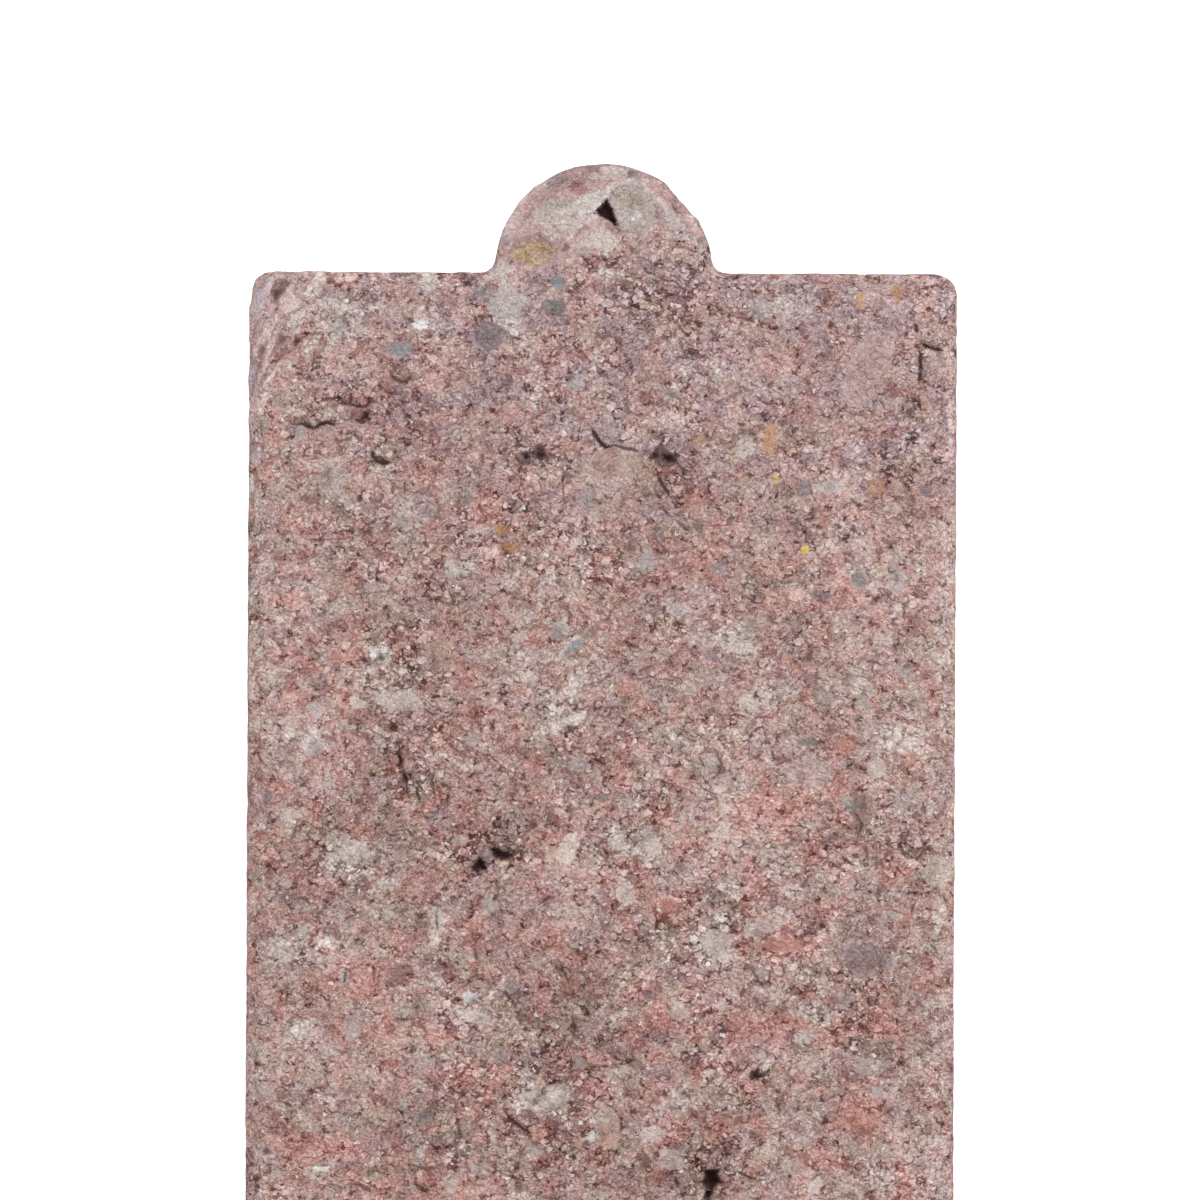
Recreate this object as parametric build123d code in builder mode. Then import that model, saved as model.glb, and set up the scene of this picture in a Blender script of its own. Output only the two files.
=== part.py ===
"""A concrete garden curb, pressed in one piece, with a half-round tongue on one end and a groove on the other.

The curb stands on its bedding face. X runs along it towards the tongue, Y across it and Z up.
The origin is the middle of the bedding face. All lengths are in millimetres.
"""

from build123d import *
import os

# Body
body_length = 1000.0  # laying length, from end face to end face
body_thickness = 60.0
body_height = 200.0

# Edges as the mould and handling leave them
corner_radius = 2.0  # upright edges of both ends
top_edge_radius = 1.5  # all round the top face
bed_edge_radius = 0.8  # all round the bedding face

# Joint between two curbs in a row
tongue_radius = 9.3
tongue_root_radius = 1.2  # where the tongue grows out of its end face
joint_clearance = 1.0  # all round the next curb's tongue in the groove
groove_mouth_radius = 2.0

# One corner beside the tongue has lost a flake
chip_along_end = 6.0
chip_along_side = 14.0
chip_depth = 3.2

# The top of the tongue is worn down towards its tip
wear_start = 1.6  # distance from the end face
wear_drop = 2.0  # at the tip

tongue_end_x = body_length / 2
groove_end_x = -body_length / 2
side_y = body_thickness / 2
groove_radius = tongue_radius + joint_clearance


def inner_corners(sketch, end_x):
    """The two corners that a tongue or groove makes with the end face at end_x."""
    on_end = sketch.vertices().filter_by(lambda corner: abs(corner.X - end_x) < corner_radius)
    return on_end.sort_by(lambda corner: abs(corner.Y))[:2]


def chip_face():
    """The plane of the broken corner, through a point on each of its three edges."""
    on_end = Vector(tongue_end_x, side_y - chip_along_end, body_height)
    on_side = Vector(tongue_end_x - chip_along_side, side_y, body_height)
    below = Vector(tongue_end_x, side_y, body_height - chip_depth)
    return Plane(origin=on_end, z_dir=(below - on_end).cross(on_side - on_end))


def worn_face():
    """The slope on top of the tongue, from beside the end face down to the tip."""
    start = Vector(tongue_end_x + wear_start, 0, body_height)
    tip = Vector(tongue_end_x + tongue_radius, 0, body_height - wear_drop)
    return Plane(origin=start, z_dir=(tip - start).cross(Vector(0, 1, 0)))


with BuildPart() as curb:
    with BuildSketch() as plan:
        Rectangle(body_length, body_thickness)
        with Locations((tongue_end_x, 0)):
            Circle(tongue_radius)
        with Locations((groove_end_x, 0)):
            Circle(groove_radius, mode=Mode.SUBTRACT)
        fillet(inner_corners(plan, tongue_end_x), tongue_root_radius)
        fillet(inner_corners(plan, groove_end_x), groove_mouth_radius)
        by_side = plan.vertices().group_by(Axis.Y)
        fillet(by_side[0] + by_side[-1], corner_radius)
    extrude(amount=body_height)
    fillet(curb.faces().sort_by(Axis.Z)[-1].edges(), top_edge_radius)
    fillet(curb.faces().sort_by(Axis.Z)[0].edges(), bed_edge_radius)
    for broken_face in (chip_face(), worn_face()):
        split(bisect_by=broken_face, keep=Keep.BOTTOM)

curb.part.label = "curb"
os.makedirs("parts", exist_ok=True)
export_step(curb.part, "parts/curb.step")
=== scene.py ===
"""The looks of a concrete garden curb: open-grained faces, a worn tongue, a chipped corner and stones.

Lengths are in metres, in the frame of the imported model. The curb is one closed mesh. It is dense where the
photograph shows it, at the tongue end of the top face, and wider meshed away from there. Relief goes
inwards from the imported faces, so nothing stands out of them.
"""

import math
from collections import namedtuple
from itertools import product

import bpy
import numpy as np
from mathutils import Matrix, Vector, noise
from mathutils.geometry import delaunay_2d_cdt


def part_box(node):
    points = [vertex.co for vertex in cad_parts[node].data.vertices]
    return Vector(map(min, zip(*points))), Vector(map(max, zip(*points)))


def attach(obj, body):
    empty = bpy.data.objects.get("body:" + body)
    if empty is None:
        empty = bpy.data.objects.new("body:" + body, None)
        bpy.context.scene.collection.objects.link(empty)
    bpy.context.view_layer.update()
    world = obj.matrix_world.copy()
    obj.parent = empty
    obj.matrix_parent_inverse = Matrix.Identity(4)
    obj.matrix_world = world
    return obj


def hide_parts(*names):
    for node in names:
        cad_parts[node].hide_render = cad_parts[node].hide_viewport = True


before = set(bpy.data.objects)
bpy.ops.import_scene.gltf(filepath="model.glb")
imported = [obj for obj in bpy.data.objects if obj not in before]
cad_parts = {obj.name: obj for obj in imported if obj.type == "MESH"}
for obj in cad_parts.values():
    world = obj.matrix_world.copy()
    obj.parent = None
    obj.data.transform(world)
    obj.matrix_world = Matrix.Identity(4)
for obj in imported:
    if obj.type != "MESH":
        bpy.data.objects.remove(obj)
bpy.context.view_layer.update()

mm = 0.001

# The curb's sizes, from its box and as the source has them
low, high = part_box("curb")
end_x = -low.x
side_y = high.y
top_z = high.z
tongue_radius = high.x - end_x
corner_radius = 2.0 * mm
top_edge_radius = 1.5 * mm
bed_edge_radius = 0.8 * mm
tongue_root_radius = 1.2 * mm
joint_clearance = 1.0 * mm
groove_mouth_radius = 2.0 * mm
chip_along_end = 6.0 * mm
chip_along_side = 14.0 * mm
chip_depth = 3.2 * mm
wear_start = 1.6 * mm
wear_drop = 2.0 * mm
groove_radius = tongue_radius + joint_clearance

# The photograph: its frame in pixels, where the curb lies in it, and the camera that sees it so
photo_side = 1200
curb_width_px = 712
end_face_px = 270.75  # the row of the end face, in the picture's middle column
middle_px = 601.9  # the column of the curb's middle line, in the picture's middle row
roll = math.radians(0.25)
lens = 200.0
sensor = 36.0
pixel = 2 * side_y / curb_width_px
view_centre = Vector((end_x - (photo_side / 2 - end_face_px) * pixel, (middle_px - photo_side / 2) * pixel))
view_start = view_centre.x - photo_side / 2 * pixel

# How close together the mesh's points are
finest_spacing = 0.17 * mm  # on the tongue and the chipped corner
fine_spacing = 0.34 * mm  # on the rest of the photographed part
coarse_spacing = 5.6 * mm
close_up_growth = 0.35
top_growth = 0.07  # how much wider for each metre away from the photographed part
wall_growth = 0.40
bend_share = 0.50  # of a bend's radius
clear_share = 0.55  # of the spacing, that points of a pattern keep off a rim
kept_off_share = 0.7  # of the fine spacing, that they keep off the relief's own points
level_ratio = math.sqrt(2)
row_share = math.sqrt(3) / 2  # between the rows of a triangular pattern
path_step = 0.1 * mm
close_ups = [  # where the mesh is finest: middle and reach
    (np.array([end_x + 1 * mm, 0]), 9.5 * mm),
    (np.array([end_x - 4 * mm, side_y - 2.5 * mm]), 5.0 * mm),
]

# The patterns lie on the faces as if the curb's skin were spread out flat
draw_out = np.array([1.0, 0.85])  # pressing drew the grains out a little across the curb
wall_shift = np.array([0.7, 0.3])
bed_shift = np.array([1.9, 1.3])


def photo_place(places):
    """Where places on the top face lie in the photograph, in pixels."""
    back = (view_centre.x - places[:, 0]) / pixel
    right = (view_centre.y - places[:, 1]) / pixel
    column = photo_side / 2 + back * math.sin(roll) + right * math.cos(roll)
    row = photo_side / 2 + back * math.cos(roll) - right * math.sin(roll)
    return np.stack([column, row], 1)


def top_place(pixels):
    """Where pixels of the photograph lie on the top face."""
    column, row = (np.asarray(pixels, float).reshape(-1, 2) - photo_side / 2).T
    back = column * math.sin(roll) + row * math.cos(roll)
    right = column * math.cos(roll) - row * math.sin(roll)
    return np.stack([view_centre.x - back * pixel, view_centre.y - right * pixel], 1)


# What the photograph shows on the top face. Places and sizes there are in its pixels.
Stone = namedtuple("Stone", "colour strength column row half_width half_height turn proud", defaults=(0, 0))
Patch = namedtuple("Patch", "column row half_width half_height strength turn", defaults=(0,))
Pit = namedtuple("Pit", "depth corners")
Crack = namedtuple("Crack", "width depth points")
Facet = namedtuple("Facet", "colour strength corners")
Streak = namedtuple("Streak", "width strength points")

palette = {
    "grey": (0.34, 0.28, 0.27),
    "pale_grey": (0.50, 0.43, 0.41),
    "cream": (0.58, 0.47, 0.41),
    "ochre": (0.45, 0.24, 0.11),
    "orange": (0.58, 0.32, 0.19),
    "golden": (0.46, 0.30, 0.17),
    "pale_golden": (0.56, 0.41, 0.29),
    "brown": (0.28, 0.18, 0.15),
    "dusky_brown": (0.37, 0.235, 0.205),
    "sandy": (0.47, 0.335, 0.28),
    "blue_grey": (0.31, 0.295, 0.305),
    "green_grey": (0.22, 0.19, 0.18),
    "purple_grey": (0.29, 0.22, 0.23),
    "pink": (0.55, 0.37, 0.32),
    "dusky_pink": (0.43, 0.31, 0.27),
    "dull_red": (0.37, 0.185, 0.19),
    "mauve": (0.46, 0.365, 0.35),
    "olive": (0.38, 0.31, 0.25),
    "grey_beige": (0.46, 0.39, 0.345),
    "beige": (0.61, 0.535, 0.475),
    "flake_grey": (0.45, 0.365, 0.335),
    "pale_pink": (0.57, 0.39, 0.37),
    "white": (0.82, 0.78, 0.77),
    "yellow": (0.75, 0.52, 0.12),
    "peach": (0.64, 0.43, 0.36),
    "red": (0.53, 0.255, 0.21),
    "rose": (0.70, 0.47, 0.44),
    "pale_rose": (0.72, 0.58, 0.53),
    "bright_pink": (0.80, 0.50, 0.46),
    "pale_beige": (0.70, 0.59, 0.53),
    "rim_blue": (0.36, 0.335, 0.385),
    "violet": (0.26, 0.215, 0.24),
    "lime": (0.66, 0.55, 0.51),
    "shade": (0.14, 0.082, 0.08),
    "red_shade": (0.21, 0.12, 0.115),
}

# Stones and flecks by colour and strength: column, row, half width, half height, degrees turned, mm proud.
# Where two overlap, the later one covers the other.
stone_rows = {
    ("brown", 0.8): [
        (267, 582, 4, 3), (848, 682, 4, 3), (855, 620, 6, 4), (815, 1095, 6, 3), (787, 729, 3, 3),
        (758, 844, 3, 4), (823, 838, 5, 3), (630, 548, 6, 6),
    ],
    ("white", 0.9): [
        (655, 232, 2, 2), (293, 381, 2, 4, 10), (417, 328, 6, 4, 20, 0.05), (351, 880, 5, 3, 0, 0.05),
    ],
    ("white", 0.6): [(322, 406, 2, 2), (334, 397, 2, 2), (326, 369, 2, 2)],
    ("olive", 0.8): [(626, 199, 13, 7, 10), (703, 239, 4, 7, -20)],
    ("white", 0.7): [(600, 256, 3, 2), (380, 657, 8, 9, 0, 0.05)],
    ("dull_red", 0.6): [(442, 301, 8, 6), (391, 385, 8, 6, 0, 0.1)],
    ("pink", 0.6): [(285, 361, 12, 6), (397, 490, 6, 6, 0, 0.1)],
    ("ochre", 0.9): [(500, 533, 8, 7, 20), (509, 549, 11, 5)],
    ("orange", 0.9): [(770, 437, 7, 16, 8), (856, 298, 5, 9, 10)],
    ("grey", 0.5): [(365, 322, 6, 8, 0, 0.05), (544, 1100, 14, 10, 0, 0.08)],
    ("pale_golden", 1.0): [(644, 221, 5, 2, 25)],
    ("rose", 0.6): [(677, 200, 8, 5, 30)],
    ("pink", 0.8): [
        (683, 211, 4, 5, 30), (593, 223, 4, 3), (663, 300, 4, 3), (937, 900, 10, 8, 0, 0.1),
        (614, 1123, 12, 12, 0, 0.1),
    ],
    ("pale_grey", 0.9): [(678, 238, 3.5, 4.5)],
    ("dull_red", 0.7): [(578, 232, 10, 2.5, -35)],
    ("blue_grey", 0.7): [(499, 241, 4, 7, 15)],
    ("pale_grey", 0.75): [(505, 303, 19, 17, -20, 0.12)],
    ("blue_grey", 0.5): [(481, 294, 11, 10, 0, 0.05)],
    ("pale_grey", 0.5): [(383, 315, 5, 10, 10, 0.05)],
    ("brown", 0.5): [(403, 338, 9, 5, -10)],
    ("olive", 0.5): [(281, 403, 12, 8)],
    ("olive", 0.7): [(261, 427, 9, 11)],
    ("mauve", 0.8): [(491, 857, 9, 5, 0, 0.15)],
    ("dusky_pink", 0.5): [(934, 361, 13, 11, 0, 0.05)],
    ("purple_grey", 0.9): [(487, 335, 15, 13, 0, 0.05)],
    ("pale_beige", 0.9): [(427, 283, 11, 9, 0, 0.1)],
    ("blue_grey", 0.8): [(398, 351, 14, 6, -12)],
    ("sandy", 0.35): [(615, 482, 42, 38, 0, 0.12)],
    ("grey", 0.6): [(335, 296, 10, 5), (586, 498, 8, 12)],
    ("mauve", 0.5): [(607, 432, 13, 11, 0, 0.12), (811, 770, 25, 17)],
    ("dusky_brown", 0.75): [(606, 463, 16, 12, -20)],
    ("sandy", 0.8): [(626, 463, 15, 14), (438, 652, 13, 12, 0, 0.05)],
    ("pale_golden", 0.5): [(643, 473, 9, 4, 10)],
    ("pale_pink", 0.6): [(866, 366, 22, 38, 25, 0.05)],
    ("golden", 0.6): [(697, 439, 12, 4, -25)],
    ("green_grey", 0.45): [(822, 696, 7, 15, -32)],
    ("lime", 0.55): [(772, 922, 26, 10, -25)],
    ("brown", 0.6): [(862, 818, 8, 17, 8)],
    ("brown", 0.35): [(845, 832, 15, 8)],
    ("ochre", 0.6): [(875, 486, 7, 12, 30, 0.05)],
    ("ochre", 0.8): [(893, 291, 6, 9, -10, 0.05)],
    ("yellow", 0.9): [(805, 549, 4, 6, 20)],
    ("pale_rose", 0.95): [(569, 849, 11, 16, 20, 0.15)],
    ("cream", 0.9): [(940, 868, 16, 16, 30, 0.2)],
    ("brown", 0.7): [(864, 806, 12, 15, 20)],
    ("pale_grey", 0.45): [(330, 482, 14, 24)],
    ("purple_grey", 0.6): [(549, 179, 10, 4, -30), (326, 478, 7, 12, -10, 0.05), (868, 958, 20, 18)],
    ("pale_grey", 0.8): [(646, 563, 9, 11, 0, 0.12)],
    ("cream", 0.8): [
        (290, 860, 6, 7), (453, 955, 5, 4), (682, 1011, 9, 9), (610, 1115, 12, 9), (893, 1178, 3, 3),
        (512, 1078, 4, 4), (670, 840, 6, 7), (645, 548, 7, 6), (288, 888, 6, 5),
    ],
    ("pale_grey", 0.6): [(845, 998, 12, 8, 0, 0.05)],
    ("dusky_brown", 0.4): [
        (764, 628, 10, 13), (440, 669, 12, 6), (832, 998, 8, 8), (540, 1114, 12, 9), (422, 920, 14, 9),
        (316, 978, 14, 10), (905, 1115, 9, 9), (313, 683, 8, 7),
    ],
    ("grey", 0.45): [(707, 765, 15, 12)],
    ("pale_grey", 0.7): [
        (338, 329, 7, 8, 0, 0.05), (309, 424, 3, 4, 0, 0.1), (297, 435, 6, 7, 0, 0.05),
        (355, 1030, 9, 14, 0, 0.05), (678, 608, 9, 8, 0, 0.05), (400, 524, 8, 7), (429, 512, 9, 8),
        (336, 608, 5, 7), (860, 568, 10, 4), (896, 577, 12, 11), (577, 383, 9, 7), (757, 307, 14, 12),
        (828, 486, 12, 9), (472, 742, 10, 6), (559, 630, 11, 9), (313, 591, 6, 8), (330, 785, 6, 5),
        (580, 765, 12, 8), (455, 572, 9, 8), (268, 1095, 6, 5), (432, 1058, 7, 4), (335, 1090, 8, 6),
        (585, 1065, 8, 9), (865, 1065, 7, 13), (883, 1090, 7, 7), (863, 700, 6, 8), (907, 671, 10, 7),
        (718, 900, 7, 4), (893, 915, 10, 7), (342, 918, 5, 7), (390, 915, 5, 9), (305, 936, 6, 7),
        (345, 980, 5, 11), (490, 908, 8, 8), (405, 1017, 8, 4), (765, 1055, 7, 5), (807, 1135, 6, 5),
        (485, 1171, 8, 7), (537, 1150, 8, 6), (318, 713, 9, 7), (712, 762, 6, 5), (630, 802, 5, 10),
        (848, 797, 6, 6), (810, 1035, 10, 5), (750, 1195, 8, 5),
    ],
    ("blue_grey", 0.9): [(574, 649, 13, 5, -40)],
    ("brown", 0.85): [(591, 633, 13, 4, -42)],
    ("purple_grey", 0.4): [(712, 655, 26, 7, 15)],
    ("grey", 0.4): [
        (400, 975, 9, 9), (425, 1004, 9, 7), (475, 1130, 12, 12), (800, 1168, 12, 8), (910, 797, 14, 12),
        (810, 655, 14, 9), (697, 665, 10, 6), (647, 835, 7, 10),
    ],
    ("lime", 0.7): [
        (400, 702, 22, 11), (358, 706, 7, 6), (518, 637, 9, 7), (529, 680, 8, 7), (357, 853, 15, 12),
        (463, 843, 10, 8), (440, 922, 7, 15), (618, 845, 9, 7), (655, 847, 8, 8), (740, 646, 15, 7),
        (750, 703, 12, 8), (480, 1018, 13, 8), (562, 1096, 12, 12), (530, 1097, 9, 4), (677, 1160, 13, 11),
        (660, 1135, 17, 8), (720, 943, 13, 14), (288, 955, 13, 9), (290, 815, 12, 6), (628, 893, 12, 13),
        (727, 1005, 7, 9), (820, 1185, 9, 9), (878, 766, 12, 12), (455, 1187, 9, 8),
    ],
    ("peach", 0.8): [
        (847, 511, 6, 6), (408, 768, 5, 5), (552, 853, 8, 8), (546, 1082, 6, 6), (585, 1141, 6, 5),
        (612, 1140, 13, 6), (335, 1175, 4, 3), (715, 1135, 6, 7), (748, 1089, 3, 3), (583, 448, 5, 6),
        (628, 443, 4, 4), (430, 1075, 4, 4), (895, 483, 6, 8), (688, 937, 3, 2), (366, 706, 3, 4),
        (505, 1074, 5, 6),
    ],
    ("red", 0.6): [
        (727, 1118, 8, 5), (660, 1147, 8, 5), (561, 948, 5, 4), (626, 686, 10, 6), (912, 755, 7, 9),
        (825, 520, 6, 7), (660, 474, 6, 4), (845, 745, 9, 11), (787, 657, 8, 4), (645, 660, 7, 4),
        (866, 1120, 22, 8), (785, 943, 24, 8), (672, 905, 11, 7), (335, 660, 9, 7), (463, 666, 6, 7),
    ],
    ("grey", 0.8): [
        (627, 171, 5, 4), (721, 567, 8, 8), (750, 628, 5, 6), (578, 676, 6, 3), (316, 752, 5, 12),
        (515, 985, 7, 7), (890, 960, 6, 9), (766, 975, 5, 6), (430, 1118, 9, 8), (505, 1060, 6, 7),
        (531, 686, 3, 4), (640, 1063, 4, 5), (676, 930, 4, 6), (657, 535, 5, 6),
    ],
    ("green_grey", 0.9): [
        (552, 308, 14, 9, 0, 0.05), (858, 578, 9, 6), (605, 798, 6, 5), (855, 803, 9, 4), (812, 740, 12, 4),
        (774, 577, 4, 4), (896, 578, 3.5, 4.5), (478, 1001, 4, 5), (669, 391, 4, 3), (381, 660, 4, 4),
        (352, 531, 3, 2.5), (690, 1072, 4, 4),
    ],
    ("white", 0.8): [
        (635, 214, 4, 4, 20), (630, 219, 2.5, 2), (648, 229, 2.5, 2, 20), (691, 214, 3, 2, 30),
        (697, 223, 2, 3), (599, 267, 2, 2), (279, 419, 2, 2), (475, 997, 8, 4), (470, 1001, 4, 6),
        (297, 1035, 5, 4), (652, 1068, 3, 3), (682, 1082, 2.5, 2.5), (325, 1169, 7, 3), (360, 1145, 3, 2),
        (597, 1135, 8, 5), (267, 1142, 2, 2), (330, 945, 3, 6), (709, 1080, 2, 1.5), (597, 1120, 3, 3),
    ],
    ("violet", 0.7): [
        (714, 659, 6, 4), (872, 755, 5, 4), (803, 488, 8, 9), (435, 817, 8, 5), (468, 502, 5, 6),
        (838, 1154, 3, 2), (820, 595, 9, 5), (927, 489, 6, 6), (652, 993, 6, 5), (270, 800, 5, 9),
        (718, 469, 4, 4),
    ],
    ("bright_pink", 0.9): [(797, 594, 9, 7)],
    ("yellow", 0.6): [(776, 477, 4, 4)],
}
stones = [Stone(*kind, *row) for kind, rows in stone_rows.items() for row in rows]

# Pits: depth in mm, and corners
pits = {
    "tongue_hollow": Pit(2.4, [(603, 200), (598, 207), (592, 213), (595, 217), (601, 220), (607, 222),
        (612, 227), (617, 234), (614, 224), (610, 213), (607, 206)]),
    "tongue_pit": Pit(0.7, [(506, 257), (510, 262), (509, 267), (505, 262)]),
    "tongue_pit_two": Pit(0.6, [(558, 250), (562, 245), (568, 242), (566, 248), (561, 252)]),
    "tongue_gap_one": Pit(0.5, [(631, 251), (635, 250), (637, 253), (633, 254)]),
    "tongue_gap_two": Pit(0.6, [(661, 257), (664, 256), (668, 261), (665, 262)]),
    "tongue_gap_three": Pit(0.6, [(676, 260), (681, 261), (680, 265), (677, 263)]),
    "tongue_gap_four": Pit(0.6, [(689, 269), (692, 274), (693, 282), (690, 278)]),
    "tongue_gap_five": Pit(0.5, [(692, 251), (697, 251), (695, 255)]),
    "tongue_gap_six": Pit(0.5, [(697, 289), (703, 289), (700, 293)]),
    "beside_largest": Pit(1.5, [(662, 453), (668, 454), (675, 458), (674, 462), (667, 462), (662, 458)]),
    "beside_largest_left": Pit(1.2, [(645, 451), (650, 454), (655, 448), (659, 449), (657, 457),
        (650, 458)]),
    "pair_left": Pit(1.2, [(514, 456), (517, 461), (520, 464), (529, 463), (528, 466), (519, 467),
        (514, 461)]),
    "pair_left_inner": Pit(1.3, [(521, 455), (525, 453), (529, 457), (528, 461), (523, 460)]),
    "pair_right": Pit(1.4, [(532, 453), (535, 451), (541, 453), (546, 458), (541, 460), (534, 457)]),
    "pair_right_top": Pit(1.0, [(536, 447), (540, 446), (543, 452), (540, 453)]),
    "star_left": Pit(2.2, [(473, 868), (478, 864), (481, 858), (486, 863), (495, 863), (489, 868),
        (489, 875), (483, 871), (476, 872)]),
    "star_right": Pit(1.8, [(492, 849), (501, 849), (505, 853), (511, 853), (520, 849), (512, 860),
        (503, 861), (497, 859)]),
    "star_top": Pit(0.8, [(483, 851), (486, 846), (489, 850), (486, 853)]),
    "lowest": Pit(2.4, [(709, 1170), (723, 1170), (723, 1178), (727, 1183), (719, 1186), (718, 1191),
        (714, 1200), (708, 1200), (712, 1190), (711, 1187), (707, 1181), (711, 1178)]),
    "round": Pit(1.5, [(753, 1076), (756, 1070), (762, 1069), (767, 1074), (762, 1080), (755, 1081)]),
    "in_white_ring": Pit(0.6, [(379, 660), (381, 657), (386, 658), (386, 661), (382, 665), (379, 664)]),
    "corner_hollow": Pit(0.5, [(271, 296), (277, 293), (283, 287), (288, 282), (289, 286), (283, 294),
        (277, 300), (276, 305), (273, 299)]),
    "chip_pit_two": Pit(0.8, [(279, 338), (285, 340), (284, 346), (280, 349), (278, 344)]),
    "chip_pit_three": Pit(1.1, [(290, 349), (293, 339), (298, 342), (295, 348), (289, 354)]),
    "chip_pit_four": Pit(0.8, [(303, 375), (306, 377), (310, 385), (306, 386), (303, 381)]),
    "chip_pit_five": Pit(0.6, [(261, 381), (264, 374), (267, 378), (263, 385)]),
    "chip_pit_six": Pit(0.6, [(255, 354), (260, 348), (262, 353), (257, 359)]),
    "under_slab": Pit(1.5, [(355, 422), (360, 418), (361, 412), (367, 413), (367, 421), (362, 425),
        (356, 425)]),
    "right_of_middle": Pit(0.9, [(718, 765), (722, 761), (724, 768), (721, 777), (718, 774)]),
    "low_middle": Pit(1.0, [(575, 1028), (579, 1025), (582, 1031), (578, 1035)]),
    "low_left": Pit(0.9, [(266, 1154), (271, 1151), (276, 1156), (270, 1158)]),
}

# Cracks: width in pixels, depth in mm, and the points that each runs through
crack_rows = [
    (5.2, 1.0, [(591, 429), (594, 436), (599, 443), (605, 447)]),
    (3.4, 0.7, [(605, 447), (614, 445), (622, 448), (632, 449), (640, 452)]),
    (4.4, 0.8, [(656, 474), (661, 483), (665, 489), (669, 495)]),
    (2.6, 0.4, [(676, 462), (681, 468), (683, 475)]),
    (2.4, 0.4, [(561, 474), (562, 490), (563, 500), (566, 512)]),
    (4.8, 1.0, [(918, 348), (919, 362), (918, 378), (921, 380)]),
    (4.4, 1.0, [(919, 340), (930, 345), (942, 348)]), (5.0, 0.9, [(913, 322), (915, 330)]),
    (4.6, 1.0, [(292, 427), (300, 426), (307, 429), (313, 430), (318, 427), (325, 425), (332, 427)]),
    (2.6, 0.5, [(332, 428), (335, 418)]), (3.0, 0.5, [(306, 429), (306, 422)]),
    (3.0, 0.4, [(312, 354), (311, 363), (310, 373)]),
    (3.8, 0.8, [(336, 400), (342, 405), (349, 406), (356, 409), (364, 408), (368, 404), (374, 402)]),
    (3.8, 0.8, [(349, 396), (349, 402), (350, 406)]),
    (3.4, 0.6, [(388, 373), (391, 379), (400, 384), (409, 380)]),
    (5.0, 1.0, [(370, 453), (372, 459), (377, 464), (382, 465), (387, 464)]),
    (3.6, 0.7, [(381, 458), (382, 464), (383, 470)]),
    (3.0, 0.7, [(400, 744), (402, 765), (407, 780), (410, 800)]),
    (1.6, 0.12, [(392, 546), (440, 544), (480, 544), (520, 543)]),
    (2.8, 0.4, [(271, 640), (277, 645), (281, 651)]), (3.0, 0.6, [(363, 641), (372, 642), (377, 645)]),
    (3.2, 0.5, [(402, 620), (408, 626)]), (2.6, 0.5, [(414, 643), (417, 652), (416, 662)]),
    (2.8, 0.5, [(409, 672), (413, 678), (421, 688), (426, 694)]), (2.4, 0.5, [(616, 233), (624, 236)]),
    (2.4, 0.6, [(640, 266), (645, 272), (652, 274)]),
    (2.4, 0.6, [(657, 277), (664, 280), (672, 280), (678, 286)]),
    (2.0, 0.4, [(680, 264), (684, 268), (690, 268)]),
    (2.8, 0.6, [(724, 311), (735, 316), (748, 318), (752, 310)]),
    (2.8, 0.5, [(756, 398), (764, 402), (776, 402)]), (3.2, 0.6, [(858, 812), (864, 822), (861, 832)]),
    (2.8, 0.5, [(439, 914), (440, 932)]), (4.4, 0.9, [(508, 1112), (516, 1121), (523, 1127), (531, 1132)]),
    (4.6, 0.9, [(399, 756), (403, 762), (399, 770)]), (4.6, 0.8, [(404, 776), (408, 783)]),
    (4.2, 0.8, [(418, 788), (419, 796), (422, 803)]), (4.0, 0.6, [(357, 1187), (366, 1188), (376, 1194)]),
    (4.0, 0.8, [(745, 1172), (752, 1176), (762, 1178)]),
]

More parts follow.
